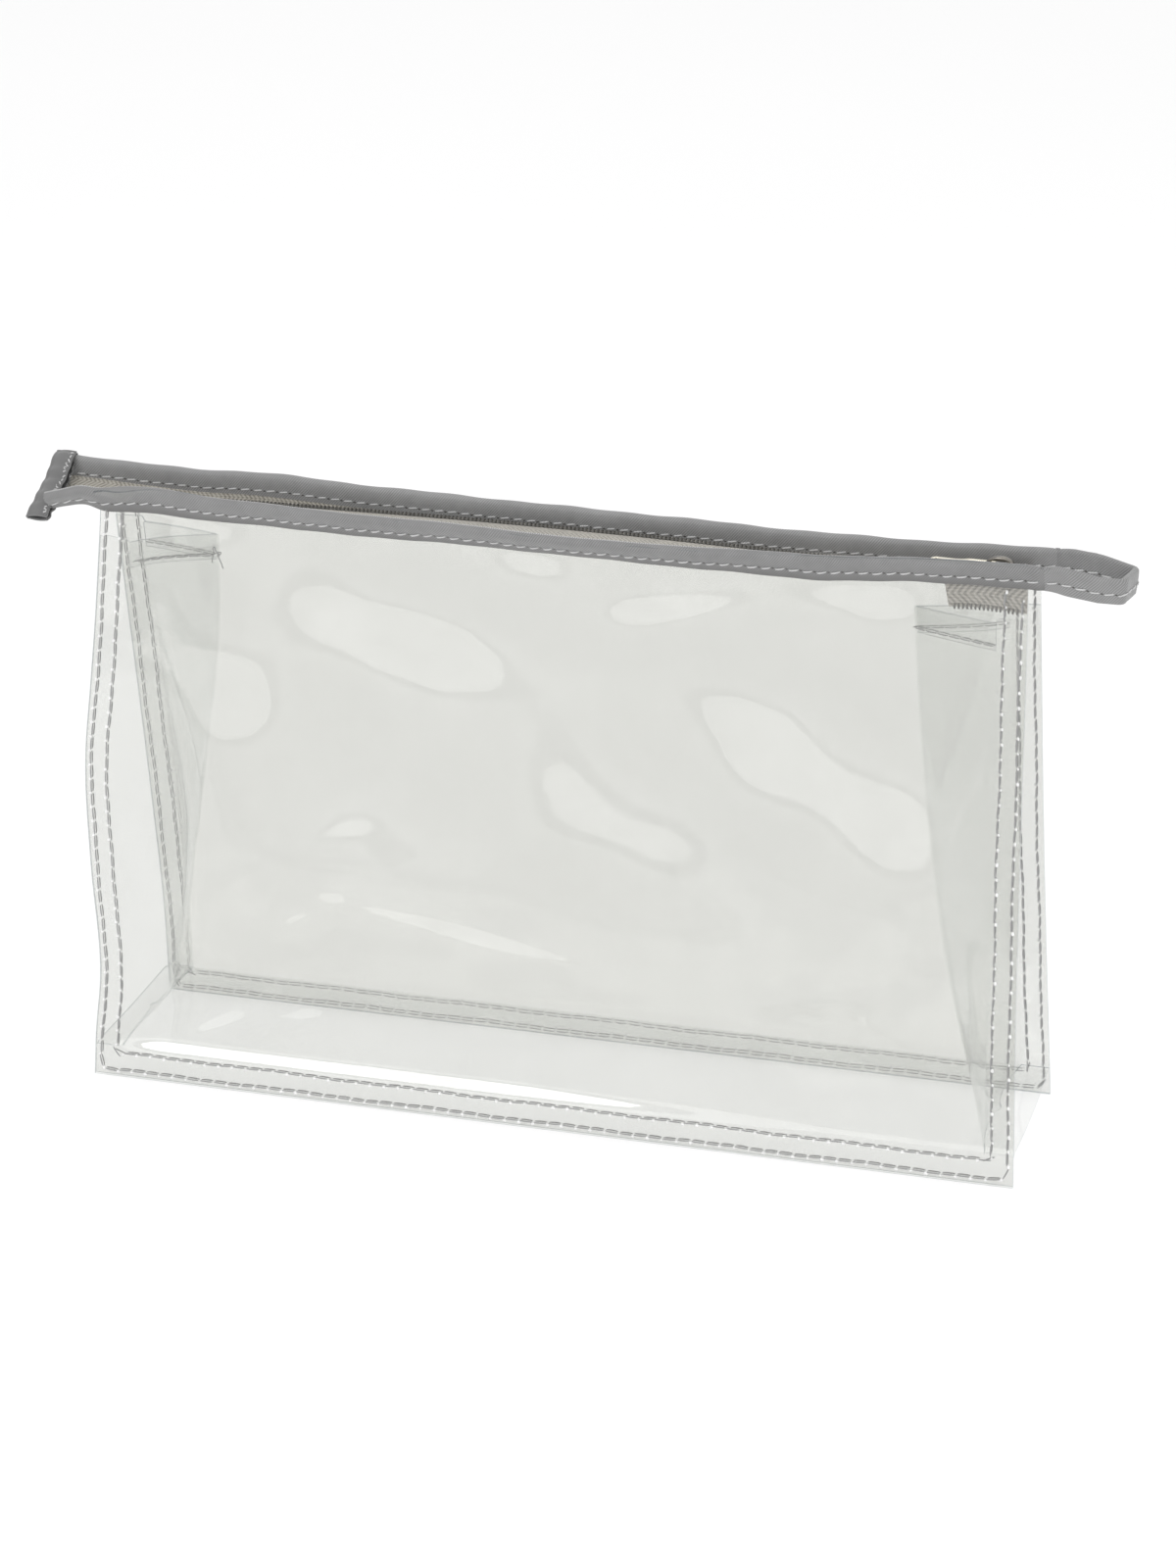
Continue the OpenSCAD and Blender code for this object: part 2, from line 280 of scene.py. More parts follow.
def herringbone(name, dark, light, pitch, stripe, relief):
    """Woven zip tape: slanting ridges that turn back at each stripe."""
    s = Shader(name)
    length, width = s.thread_grid()
    zigzag = s.node("ShaderNodeMath", {"operation": "PINGPONG"}, {0: width, 1: stripe})
    ridges = s.wave((length + zigzag * 0.9) / pitch)
    warp = s.wave(width / (pitch * 0.5))
    place = s.place()
    fuzz = s.noise(place, 500.0, 2.0)
    stain = s.noise(place, 45.0, 3.0)
    weave = ridges * 0.65 + warp * 0.35
    base = s.blend(weave, dark, light)
    base = s.blend(s.span(fuzz, 0.4, 0.8, 0.0, 0.4), base, light)
    base = s.blend(s.span(stain, 0.4, 0.8, 0.0, 0.2), base, dark)
    surface = s.principled(
        Base_Color=base,
        Roughness=s.span(weave, 0.0, 1.0, 0.85, 0.62),
        Sheen_Weight=0.25,
        Normal=s.bump(weave * 0.8 + fuzz * 0.2, relief, 0.9),
    )
    return s.finish(surface)


def sewing_thread(name, level):
    """Twisted thread: its lay runs across each stitch."""
    s = Shader(name)
    place = s.place()
    x, y, z = s.parts(place)
    lay = s.wave((x + z * 0.8 + y * 0.5) / 0.00042)
    fuzz = s.noise(place, 900.0, 2.0)
    base = s.blend(lay * 0.6 + fuzz * 0.4, grey(level * 0.62), grey(level * 1.15))
    surface = s.principled(
        Base_Color=base,
        Roughness=s.span(lay, 0.0, 1.0, 0.6, 0.42),
        Sheen_Weight=0.3,
        Normal=s.bump(lay, 0.00008, 0.8),
    )
    return s.finish(surface)


def plated(name, light, dark, rough):
    """Plated metal with fine scuffs and a cloudy, uneven tone."""
    s = Shader(name)
    place = s.place()
    scuffs = s.noise(place, 1400.0, 3.0, 0.7, 1.5)
    cloud = s.noise(place, 300.0, 3.0)
    surface = s.principled(
        Base_Color=s.blend(s.span(cloud, 0.3, 0.7), dark, light),
        Metallic=1.0,
        Roughness=s.span(scuffs, 0.35, 0.75, rough, rough + 0.2),
        Normal=s.bump(scuffs, 0.00002, 0.4),
    )
    return s.finish(surface)


def blister_film(name):
    """Film stretched over a needle hole, mostly painted white as a highlight over the clear film."""
    s = Shader(name)
    cloud = s.noise(s.place(), 900.0, 2.0)
    painted_highlight = s.principled(
        Base_Color=s.blend(cloud, grey(0.82), grey(0.98)),
        Roughness=s.span(cloud, 0.3, 0.7, 0.12, 0.3),
        Normal=s.bump(cloud, 0.00003, 0.4),
    )
    clear = s.node("ShaderNodeBsdfTransparent", {}, {"Color": (0.97, 0.97, 0.97, 1)})
    return s.finish(s.node("ShaderNodeMixShader", {}, {0: s.span(cloud, 0.3, 0.7, 0.55, 0.9), 1: clear, 2: painted_highlight}))


def filament(name, dark=0.11, light=0.3):
    """The moulded coil of the zip, and other dark small things."""
    s = Shader(name)
    cloud = s.noise(s.place(), 700.0, 3.0)
    surface = s.principled(
        Base_Color=s.blend(cloud, grey(dark, 0.1), grey(light, 0.12)),
        Roughness=s.span(cloud, 0.3, 0.7, 0.3, 0.5),
        Normal=s.bump(cloud, 0.00003, 0.5),
    )
    return s.finish(surface)


FILM = clear_film("panel_film", (0.905, 0.906, 0.895, 1), 0.03)
GUSSET_FILM = clear_film("gusset_film", (0.965, 0.967, 0.965, 1), 0.03)
FILM_EDGE = clear_film("film_cut_edge", (0.55, 0.58, 0.6, 1), 0.15)
FILMS = (FILM, GUSSET_FILM)
# The bindings and the loop are one ribbon in three copies whose levels differ as painted light and shade: the rear copy
# is painted lighter to offset the shade it stands in.
REAR_BINDING = twill("rear_binding_twill", 0.265, 0.0007, 0.9, 0.0001)
FRONT_BINDING = twill("front_binding_twill", 0.215, 0.0007, 0.9, 0.0001, 0.35, (4.5, 5.25), (9.3, 12.2))
LOOP_RIBBON = twill("loop_twill", 0.24, 0.0007, 0.9, 0.0001)
TAB_RIBBON = twill("tab_twill", 0.15, 0.0006, 0.9, 0.00006)
TAPE = herringbone("zip_tape_weave", (0.14, 0.13, 0.11, 1), (0.5, 0.475, 0.42, 1), 0.0012, 0.0022, 0.00012)
COIL = filament("coil_filament", 0.035, 0.16)
FILM_THREAD = sewing_thread("film_seam_thread", 0.34)
BINDING_THREAD = sewing_thread("binding_seam_thread", 0.62)
TAPE_END = herringbone("tape_end_weave", (0.13, 0.12, 0.11, 1), (0.42, 0.4, 0.36, 1), 0.0016, 0.0034, 0.0002)
PUCKER = blister_film("film_pucker_painted_highlight")
NEEDLE_HOLE = filament("needle_hole_shade", 0.035, 0.09)
NICKEL = plated("slider_nickel", (0.76, 0.74, 0.68, 1), (0.5, 0.48, 0.43, 1), 0.16)
DARK_NICKEL = plated("crown_dark_nickel", (0.3, 0.28, 0.25, 1), (0.09, 0.085, 0.08, 1), 0.1)
PALE_NICKEL = plated("pull_pale_nickel", (0.93, 0.89, 0.76, 1), (0.74, 0.7, 0.58, 1), 0.12)


# ---------------------------------------------------------------- making pieces

def new_object(name, vertices, faces, materials, uvs=None, slots=None, sharp=40):
    """A mesh object at the origin with a map named cut, its faces smooth but for sharp edges."""
    mesh = bpy.data.meshes.new(name)
    mesh.from_pydata([tuple(v) for v in vertices], [], [tuple(f) for f in faces])
    for material in materials:
        mesh.materials.append(material)
    if slots is not None:
        mesh.polygons.foreach_set("material_index", np.array(slots, np.int32))
    if uvs is not None:
        layer = mesh.uv_layers.new(name="cut")
        loops = np.zeros(len(mesh.loops), np.int32)
        mesh.loops.foreach_get("vertex_index", loops)
        layer.data.foreach_set("uv", np.array(uvs, np.float32)[loops].ravel())
    mesh.polygons.foreach_set("use_smooth", np.ones(len(mesh.polygons), bool))
    mesh.set_sharp_from_angle(angle=math.radians(sharp))
    mesh.update()
    piece = bpy.data.objects.new(name, mesh)
    if materials[0] in FILMS:
        # Clear film lets light through to the floor and the pieces behind it.
        piece.visible_shadow = piece.visible_diffuse = False
    bpy.context.scene.collection.objects.link(piece)
    return piece


def grid_normals(grid):
    """The unit normals of a grid of points."""
    a = np.gradient(grid, axis=0)
    b = np.gradient(grid, axis=1)
    n = np.cross(a, b)
    return n / np.maximum(np.linalg.norm(n, axis=2, keepdims=True), 1e-12)


def cut_map(grid):
    """Metres along and across a grid, as it was cut."""
    steps_u = np.linalg.norm(np.diff(grid, axis=0), axis=2)
    steps_v = np.linalg.norm(np.diff(grid, axis=1), axis=2)
    u = np.concatenate([np.zeros((1, grid.shape[1])), np.cumsum(steps_u, axis=0)])
    v = np.concatenate([np.zeros((grid.shape[0], 1)), np.cumsum(steps_v, axis=1)], axis=1)
    middle = u[:, grid.shape[1] // 2 : grid.shape[1] // 2 + 1]
    return np.dstack([np.broadcast_to(middle, u.shape), v])


def shell(name, grid, thickness, materials, joined=False, cut=None):
    """A sheet of even thickness through a grid of points, with rims of the second material.

    joined closes it along its first axis."""
    grid = np.asarray(grid, float)
    if joined:
        wrapped = np.concatenate([grid[-1:], grid, grid[:1]])
        normal = grid_normals(wrapped)[1:-1]
    else:
        normal = grid_normals(grid)
    thick = np.asarray(thickness)
    thick = thick[..., None] if thick.ndim == 2 else thick
    top, bottom = grid + normal * thick / 2, grid - normal * thick / 2
    rows, columns = grid.shape[:2]
    count = rows * columns
    index = np.arange(count).reshape(rows, columns)
    ahead = np.roll(index, -1, axis=0) if joined else None
    first = index if joined else index[:-1]
    second = ahead if joined else index[1:]
    quads = np.dstack([first[:, :-1], second[:, :-1], second[:, 1:], first[:, 1:]]).reshape(-1, 4)
    faces = [quads, quads[:, ::-1] + count]
    slots = [0] * (2 * len(quads))
    rims = []
    for a, b, turn in (
        (first[:, 0], second[:, 0], False),
        (first[:, -1], second[:, -1], True),
        *(() if joined else ((index[0, :-1], index[0, 1:], True), (index[-1, :-1], index[-1, 1:], False))),
    ):
        rim = np.stack([a, a + count, b + count, b], axis=1)
        rims.append(rim[:, ::-1] if turn else rim)
    faces += rims
    slots += [len(materials) - 1] * sum(len(r) for r in rims)
    uv = (cut_map(grid) if cut is None else cut).reshape(-1, 2)
    vertices = np.concatenate([top.reshape(-1, 3), bottom.reshape(-1, 3)])
    return new_object(name, vertices, np.concatenate(faces), materials, np.concatenate([uv, uv]), slots, 50)


def path_normals(points, hint):
    """Unit tangents and side vectors along a path."""
    tangent = np.gradient(np.asarray(points, float), axis=0)
    tangent /= np.maximum(np.linalg.norm(tangent, axis=1, keepdims=True), 1e-12)
    side = np.cross(tangent, hint)
    side /= np.maximum(np.linalg.norm(side, axis=1, keepdims=True), 1e-12)
    return tangent, side


def evenly(points, normals, step, start=0.0):
    """Points every step along a path, with its direction and the surface's normal there."""
    points, normals = np.asarray(points, float), np.asarray(normals, float)
    gone = np.concatenate([[0], np.cumsum(np.linalg.norm(np.diff(points, axis=0), axis=1))])
    places = np.arange(start + step / 2, gone[-1] - step / 3, step)
    at = np.stack([np.interp(places, gone, points[:, k]) for k in range(3)], axis=1)
    out = np.stack([np.interp(places, gone, normals[:, k]) for k in range(3)], axis=1)
    ends = [
        np.stack([np.interp(places + d, gone, points[:, k]) for k in range(3)], axis=1)
        for d in (-step / 3, step / 3)
    ]
    ahead = ends[1] - ends[0]
    unit = lambda v: v / np.maximum(np.linalg.norm(v, axis=1, keepdims=True), 1e-12)
    return at, unit(ahead), unit(out)


def repeat_tree(name):
    """Geometry nodes that set one shape at each point, turned to its along and out directions."""
    tree = bpy.data.node_groups.new(name, "GeometryNodeTree")
    face = tree.interface
    face.new_socket("Points", in_out="INPUT", socket_type="NodeSocketGeometry")
    for label, kind in (
        ("Shape", "NodeSocketObject"), ("Length", "NodeSocketFloat"), ("Width", "NodeSocketFloat"),
        ("Height", "NodeSocketFloat"), ("Unevenness", "NodeSocketFloat"), ("Seed", "NodeSocketInt"),
        ("Finish", "NodeSocketMaterial"),
    ):
        face.new_socket(label, in_out="INPUT", socket_type=kind)
    face.new_socket("Pieces", in_out="OUTPUT", socket_type="NodeSocketGeometry")
    nodes, links = tree.nodes, tree.links
    source, sink = nodes.new("NodeGroupInput"), nodes.new("NodeGroupOutput")

    def add(kind, settings=None, values=None):
        node = nodes.new(kind)
        for key, setting in (settings or {}).items():
            setattr(node, key, setting)
        for key, value in (values or {}).items():
            if isinstance(value, bpy.types.NodeSocket):
                links.new(value, node.inputs[key])
            else:
                node.inputs[key].default_value = value
        return node

    given = source.outputs
    cloud = add("GeometryNodeMeshToPoints", {"mode": "VERTICES"}, {"Mesh": given["Points"]})
    way = add("GeometryNodeInputNamedAttribute", {"data_type": "FLOAT_VECTOR"}, {"Name": "along"})
    out = add("GeometryNodeInputNamedAttribute", {"data_type": "FLOAT_VECTOR"}, {"Name": "out"})
    facing = add("FunctionNodeAlignRotationToVector", {"axis": "Z"}, {"Vector": out.outputs[0]})
    turned = add(
        "FunctionNodeAlignRotationToVector", {"axis": "X", "pivot_axis": "Z"},
        {"Rotation": facing.outputs[0], "Vector": way.outputs[0]},
    )
    size = add("ShaderNodeCombineXYZ", {}, {0: given["Length"], 1: given["Width"], 2: given["Height"]})
    least = add("ShaderNodeMath", {"operation": "SUBTRACT"}, {0: 1.0, 1: given["Unevenness"]})
    luck = add(
        "FunctionNodeRandomValue", {"data_type": "FLOAT"},
        {2: least.outputs[0], 3: 1.0, "Seed": given["Seed"]},
    )
    scaled = add("ShaderNodeVectorMath", {"operation": "SCALE"}, {0: size.outputs[0], "Scale": luck.outputs[1]})
    shape = add("GeometryNodeObjectInfo", {}, {"Object": given["Shape"]})
    laid = add(
        "GeometryNodeInstanceOnPoints", {},
        {
            "Points": cloud.outputs[0], "Instance": shape.outputs["Geometry"],
            "Rotation": turned.outputs[0], "Scale": scaled.outputs[0],
        },
    )
    real = add("GeometryNodeRealizeInstances", {}, {0: laid.outputs[0]})
    finished = add("GeometryNodeSetMaterial", {}, {"Geometry": real.outputs[0], "Material": given["Finish"]})
    links.new(finished.outputs[0], sink.inputs[0])
    return tree


def unit_shape(name, vertices, faces):
    """A small shape about one unit long that is repeated and isn't itself shown."""
    mesh = bpy.data.meshes.new(name)
    mesh.from_pydata(vertices, [], faces)
    mesh.polygons.foreach_set("use_smooth", np.ones(len(mesh.polygons), bool))
    return bpy.data.objects.new(name, mesh)


def stitch_shape():
    """One stitch: a thread that rises out of the cloth, lies along it and dives back in."""
    stations = [
        (-0.5, -0.35, 0.5), (-0.42, 0.1, 0.85), (-0.2, 0.38, 1.0), (0.2, 0.38, 1.0), (0.42, 0.1, 0.85), (0.5, -0.35, 0.5),
    ]
    sides = 6
    vertices = [
        (x, 0.5 * r * math.cos(2 * math.pi * k / sides), z + 0.5 * r * math.sin(2 * math.pi * k / sides))
        for x, z, r in stations
        for k in range(sides)
    ]
    faces = [
        (i * sides + k, i * sides + (k + 1) % sides, (i + 1) * sides + (k + 1) % sides, (i + 1) * sides + k)
        for i in range(len(stations) - 1)
        for k in range(sides)
    ]
    last = (len(stations) - 1) * sides
    faces += [tuple(range(sides - 1, -1, -1)), tuple(range(last, last + sides))]
    return unit_shape("one_stitch", vertices, faces)


def tooth_shape():
    """One turn of the coil: a filament that comes out from the tape's edge and turns back."""
    ring = [
        (0.0, -1.0, 0.0), (0.0, -0.2, 0.35), (0.0, 0.6, 0.45), (0.12, 1.0, 0.0),
        (0.3, 0.6, -0.45), (0.5, -0.2, -0.35), (0.5, -1.0, 0.0),
    ]
    sides = 5
    middle = np.array(ring)
    tangent = np.gradient(middle, axis=0)
    tangent /= np.linalg.norm(tangent, axis=1, keepdims=True)
    first = np.cross(tangent, (1.0, 0.0, 0.0))
    first /= np.linalg.norm(first, axis=1, keepdims=True)
    second = np.cross(tangent, first)
    turns = 2 * np.pi * np.arange(sides) / sides
    vertices = [
        tuple(middle[i] + 0.24 * (math.cos(t) * first[i] + math.sin(t) * second[i]))
        for i in range(len(middle))
        for t in turns
    ]
    faces = [
        (i * sides + k, i * sides + (k + 1) % sides, (i + 1) * sides + (k + 1) % sides, (i + 1) * sides + k)
        for i in range(len(middle) - 1)
        for k in range(sides)
    ]
    last = (len(middle) - 1) * sides
    faces += [tuple(range(sides - 1, -1, -1)), tuple(range(last, last + sides))]
    return unit_shape("one_tooth", vertices, faces)


def blister_shape():
    """A low dome with a closed foot."""
    vertices, faces, sides = [(0.0, 0.0, 1.0)], [], 9
    rings = [(0.42, 0.86), (0.8, 0.42), (1.0, 0.0), (0.9, -0.4)]
    for r, z in rings:
        vertices += [(0.5 * r * math.cos(2 * math.pi * k / sides), 0.5 * r * math.sin(2 * math.pi * k / sides), z) for k in range(sides)]
    faces += [(0, 1 + k, 1 + (k + 1) % sides) for k in range(sides)]
    for i in range(len(rings) - 1):
        faces += [
            (1 + i * sides + k, 1 + (i + 1) * sides + k, 1 + (i + 1) * sides + (k + 1) % sides, 1 + i * sides + (k + 1) % sides)
            for k in range(sides)
        ]
    last = 1 + (len(rings) - 1) * sides
    faces.append(tuple(range(last + sides - 1, last - 1, -1)))
    return unit_shape("one_blister", vertices, faces)


REPEAT = repeat_tree("repeat_along")
BLISTER = blister_shape()
STITCH = stitch_shape()
TOOTH = tooth_shape()


def repeated(name, rows, shape, length, width, height, finish, uneven=0.12, seed=3):
    """A plain mesh of one shape at every point of the rows. A row is places, directions and normals."""
    places = np.concatenate([r[0] for r in rows])
    carrier = bpy.data.meshes.new(name + "_points")
    carrier.from_pydata([tuple(p) for p in places], [], [])
    for label, k in (("along", 1), ("out", 2)):
        layer = carrier.attributes.new(label, "FLOAT_VECTOR", "POINT")
        layer.data.foreach_set("vector", np.concatenate([r[k] for r in rows]).astype(np.float32).ravel())
    maker = bpy.data.objects.new(name + "_maker", carrier)
    bpy.context.scene.collection.objects.link(maker)
    modifier = maker.modifiers.new("repeat", "NODES")
    modifier.node_group = REPEAT
    keys = {item.name: item.identifier for item in REPEAT.interface.items_tree if item.in_out == "INPUT"}
    for label, value in (
        ("Shape", shape), ("Length", length), ("Width", width), ("Height", height),
        ("Unevenness", uneven), ("Seed", seed), ("Finish", finish),
    ):
        modifier[keys[label]] = value
    maker.update_tag()
    bpy.context.view_layer.update()
    evaluated = maker.evaluated_get(bpy.context.evaluated_depsgraph_get())
    mesh = bpy.data.meshes.new_from_object(evaluated)
    bpy.data.objects.remove(maker)
    piece = bpy.data.objects.new(name, mesh)
    bpy.context.scene.collection.objects.link(piece)
    return piece



# ---------------------------------------------------------------- the film's shape

# Soft dents and swellings of a panel, in millimetres: place along, height, half its length and width, and depth.
# The last number is its turn in degrees.
FRONT_DENTS = (
    (-62, 104, 46, 20, 1.6, 35), (58, 118, 40, 15, -1.6, -30), (20, 74, 62, 18, 1.3, 12),
    (-20, 132, 55, 11, -1.2, -8), (84, 62, 28, 30, 1.3, 60), (-88, 48, 22, 34, -1.4, 25),
    (66, 34, 40, 10, 1.1, -6), (-100, 118, 12, 30, 0.9, 8), (40, 140, 34, 7, 1.1, 14), (-6, 52, 70, 8, -0.9, -6),
    (-97, 30, 26, 3.2, 1.0, 47), (-88, 22, 20, 2.4, -0.8, 38), (-74, 44, 30, 2.6, 0.7, 33), (-63, 22, 26, 2.2, 0.8, 12),
    (-70, 33, 16, 4.0, -1.0, -52), (-34, 52, 44, 2.2, 0.55, -9), (-84, 62, 26, 3.0, 0.6, 21), (-52, 36, 18, 2.0, 0.6, 4),
    (88, 26, 26, 2.6, 0.8, -22), (98, 36, 16, 2.4, -0.7, -34), (76, 17, 30, 2.6, 0.7, -12),
)
REAR_DENTS = (
    (-70, 60, 40, 22, -1.5, -30), (30, 96, 58, 18, 1.6, 22), (76, 126, 34, 14, -1.3, 10),
    (-28, 124, 44, 16, 1.3, -18), (84, 38, 36, 14, 1.3, 30), (-10, 36, 60, 12, -1.4, -5),
    (-40, 84, 30, 4, 0.7, 38), (50, 60, 34, 3.5, -0.7, -24),
)

# Where each panel's side edges stand at each height, in millimetres from the bag's middle.
SIDE_EDGES = {
    (FRONT, LEFT): (
        (0, -124.2), (12, -123.6), (27, -122.0), (60, -123.4), (91, -123.7),
        (107, -122.3), (134, -120.2), (155, -118.8), (165, -118.7),
    ),
    (FRONT, RIGHT): ((0, 127.4), (19, 126.9), (81, 126.0), (125, 125.7), (165, 125.5)),
    (REAR, LEFT): ((0, -123.8), (30, -122.2), (60, -121.8), (165, -121.7)),
    (REAR, RIGHT): ((0, 125.6), (80, 125.0), (165, 125.4)),
}

# How far the mouth leans outwards along each binding, in degrees.
MOUTH_LEAN = {
    FRONT: (
        (-135, 48), (-126, 46), (-121, 36), (-116, 20), (-110, 12), (-104, 7), (-97, 11), (-84, 24), (-64, 28),
        (-42, 32), (-24, 35), (8, 41), (20, 39), (45, 31), (77, 14), (93, 17), (113, 18), (130, 14),
    ),
    REAR: ((-135, 3), (-90, 1), (-60, 0), (0, -2), (60, -1), (132, 0)),
}

# How far each binding's foot stands above its straight line.
FOOT_RISE = {
    FRONT: (
        (-135, -0.9), (-129, 0.9), (-123, 1.9), (-118, 0.7), (-111, 1.1), (-100, 0.9), (-90, 0.4), (-79, 0.6),
        (-60, 0.1), (-20, 0.1), (16, -0.4), (50, -0.7), (77, -0.5), (87, 0.2), (97, 1.0), (113, 1.5), (130, 1.4),
    ),
    REAR: (
        (-135, 2.4), (-117, 1.6), (-95, 1.2), (-84, 1.7), (-52, 0.8), (-10, 0.0),
        (32, -0.7), (62, -1.4), (93, -1.3), (123, -0.5), (132, -0.2),
    ),
}


def through(x, stations):
    """A value that passes through (place, value) stations in millimetres on one smooth curve. x is in metres."""
    places, values = np.array(stations, float).T
    slopes = np.gradient(values, places)
    x = np.clip(np.asarray(x, float) / MM, places[0], places[-1])
    i = np.clip(np.searchsorted(places, x, side="right") - 1, 0, len(places) - 2)
    wide = places[i + 1] - places[i]
    t = (x - places[i]) / wide
    return (
        values[i] * (1 + 2 * t) * (1 - t) ** 2 + slopes[i] * wide * t * (1 - t) ** 2
        + values[i + 1] * t * t * (3 - 2 * t) - slopes[i + 1] * wide * t * t * (1 - t)
    )


def dented(u, z, dents):
    """How far the soft dents push a panel out at a place."""
    total = np.zeros(np.broadcast(u, z).shape)
    for at_u, at_z, wide, high, depth, turn in dents:
        c, s = math.cos(math.radians(turn)), math.sin(math.radians(turn))
        du, dz = u - at_u * MM, z - at_z * MM
        a, b = (c * du + s * dz) / (wide * MM), (-s * du + c * dz) / (high * MM)
        total += depth * MM * np.exp(-(a * a + b * b))
    return total


def across_x(u, z, side):
    """The place along X of a nominal place on a panel, between its two side edges."""
    left, right = (through(z, SIDE_EDGES[side, hand]) * MM for hand in (LEFT, RIGHT))
    return MIDDLE_X + left + (right - left) * (u + HALF_W) / (2 * HALF_W)


def mouth_frame(u, side):
    """The foot of a binding and its lean: depth, height and angle."""
    lean = np.radians(through(u, MOUTH_LEAN[side]))
    foot_z = BINDING_LOW + (through(u, FOOT_RISE[side]) + 0.75 * np.sin(lean)) * MM
    return face_y(foot_z) - FILM_T / 2, foot_z, lean


def film_place(u, z, side):
    """A panel's middle surface: the bag's lean with the waves of soft film, and the mouth's lean over the foot."""
    foot_y, foot_z, lean = mouth_frame(u, side)
    calm = smooth(HALF_W - np.abs(u), 0.006, 0.024) * smooth(z, 0.010, 0.022) * smooth(BINDING_LOW + 0.002 - z, 0.0, 0.016)
    y = face_y(z) - FILM_T / 2
    y = y + dented(u, z, FRONT_DENTS if side == FRONT else REAR_DENTS) * calm
    waves = 0.5 * np.sin(2 * np.pi * (u / 0.083 + z / 0.061) + side) + 0.32 * np.sin(2 * np.pi * (u / 0.047 - z / 0.09))
    y = y + waves * MM * calm
    if side == FRONT:
        # The ledge over the inner row, where the film is drawn in by the base.
        drawn = smooth(z, 0.0072, 0.0112) * (1 - smooth(z, 0.016, 0.05))
        y = y - 2.1 * MM * drawn * smooth(u, -HALF_W, -0.105) * (1 - 0.75 * smooth(u, -0.02, 0.08))
        y = y + 1.5 * MM * smooth(z, 0.02, 0.04) * (1 - smooth(z, 0.04, 0.09)) * smooth(HALF_W - np.abs(u), 0.008, 0.04)
        y = y + 2.6 * MM * np.exp(-(((z - 0.088) / 0.042) ** 2)) * np.exp(-(((u + HALF_W) / 0.05) ** 2))
    else:
        y = y + 1.5 * MM * smooth(z, 0.009, 0.03) * (1 - smooth(z, 0.03, 0.09)) * smooth(HALF_W - np.abs(u), 0.004, 0.03)
    over = np.maximum(z - BINDING_LOW, 0)
    y = np.where(over > 0, foot_y + over * np.sin(lean), y)
    lift = (foot_z - BINDING_LOW) * smooth(z, BINDING_LOW - 0.035, BINDING_LOW)
    return y, np.where(over > 0, foot_z + over * np.cos(lean), z + lift)


def panel_point(side, u, z, out=0.0):
    """Points on or off a panel's middle surface, and its outward normals there."""
    u, z = np.broadcast_arrays(np.asarray(u, float), np.asarray(z, float))
    step = 0.2 * MM

    def spot(u, z):
        y, high = film_place(u, z, side)
        return np.stack([across_x(u, z, side), side * y, high], axis=-1)

    here = spot(u, z)
    normal = np.cross(spot(u + step, z) - here, spot(u, z + step) - here)
    normal /= np.linalg.norm(normal, axis=-1, keepdims=True)
    normal *= np.sign(normal[..., 1:2]) * side
    return here + normal * out, normal


U_LINES = np.concatenate([
    np.linspace(-HALF_W, -HALF_W + 0.012, 10),
    np.linspace(-HALF_W + 0.0135, HALF_W - 0.0135, 176),
    np.linspace(HALF_W - 0.012, HALF_W, 10),
])
Z_LINES = np.concatenate([
    np.linspace(0, 0.0065, 6), np.linspace(0.0072, 0.017, 14), np.linspace(0.0182, FILM_TOP, 122),
])


def film_panel(side):
    name = "front_panel_film" if side == FRONT else "rear_panel_film"
    grid, _ = panel_point(side, *np.meshgrid(U_LINES, Z_LINES, indexing="ij"))
    if side == REAR:
        grid = grid[::-1]
    piece = shell(name, grid, FILM_T, [FILM, FILM_EDGE])
    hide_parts("front_panel" if side == FRONT else "rear_panel")
    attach(piece, "bag")


film_panel(FRONT)
film_panel(REAR)


# ---------------------------------------------------------------- the gusset strip

STRIP_HALF = face_y(BASE_Z) - 2 * FILM_T


def allowance(u, z, side):
    """The place of the gusset's seam allowance, just inside a panel."""
    y, high = film_place(u, z, side)
    return across_x(u, z, side), side * (y - FILM_T * 1.05), high


def fold_x(hand, z):
    """How far along X the fold of one side stands at height z."""
    depth = np.minimum(face_y(z) - 2 * FILM_T, STRIP_HALF)
    tip = SEAM_X - math.sqrt(max(STRIP_HALF**2 - depth**2, 0))
    if hand == LEFT:
        tip -= 5.4 * MM * smooth(z, 0.05, 0.13)
    return MIDDLE_X + hand * tip


def side_section(hand, z):
    """The plan of one side at one height: seam allowance, two leaves and the other seam allowance."""
    edge = np.linspace(HALF_W, SEAM_X, 6) * hand
    front = np.array([allowance(u, z, FRONT) for u in edge])
    rear = np.array([allowance(u, z, REAR) for u in edge])
    tip = np.array([fold_x(hand, z), 0.0])
    t = np.linspace(0, 1, 25)[1:]
    low = smooth(z, 0.02, 0.08)
    rows = []
    front_swell = 1.4 * math.sin(z * 90 + hand) - 1.2 * low
    rear_swell = 1.2 * math.cos(z * 75 - hand) - 1.4 * low
    for seam, swell in ((front[-1], front_swell), (rear[-1], rear_swell)):
        leaf = seam[:2] + (tip - seam[:2]) * t[:, None]
        pleat = 1.1 * MM * np.exp(-(((z - 0.112 + 0.05 * t) / 0.008) ** 2)) * np.sin(np.pi * t)
        leaf[:, 0] -= hand * (np.sin(np.pi * t) * swell * MM + pleat - 0.9 * MM * np.exp(-(((1 - t) / 0.07) ** 2)))
        rows.append(leaf)
    sweep = lambda leaf, z0: np.column_stack([leaf, np.full(len(leaf), z0)])
    return np.concatenate([front, sweep(rows[0], z), sweep(rows[1][-2::-1], z), rear[::-1]])


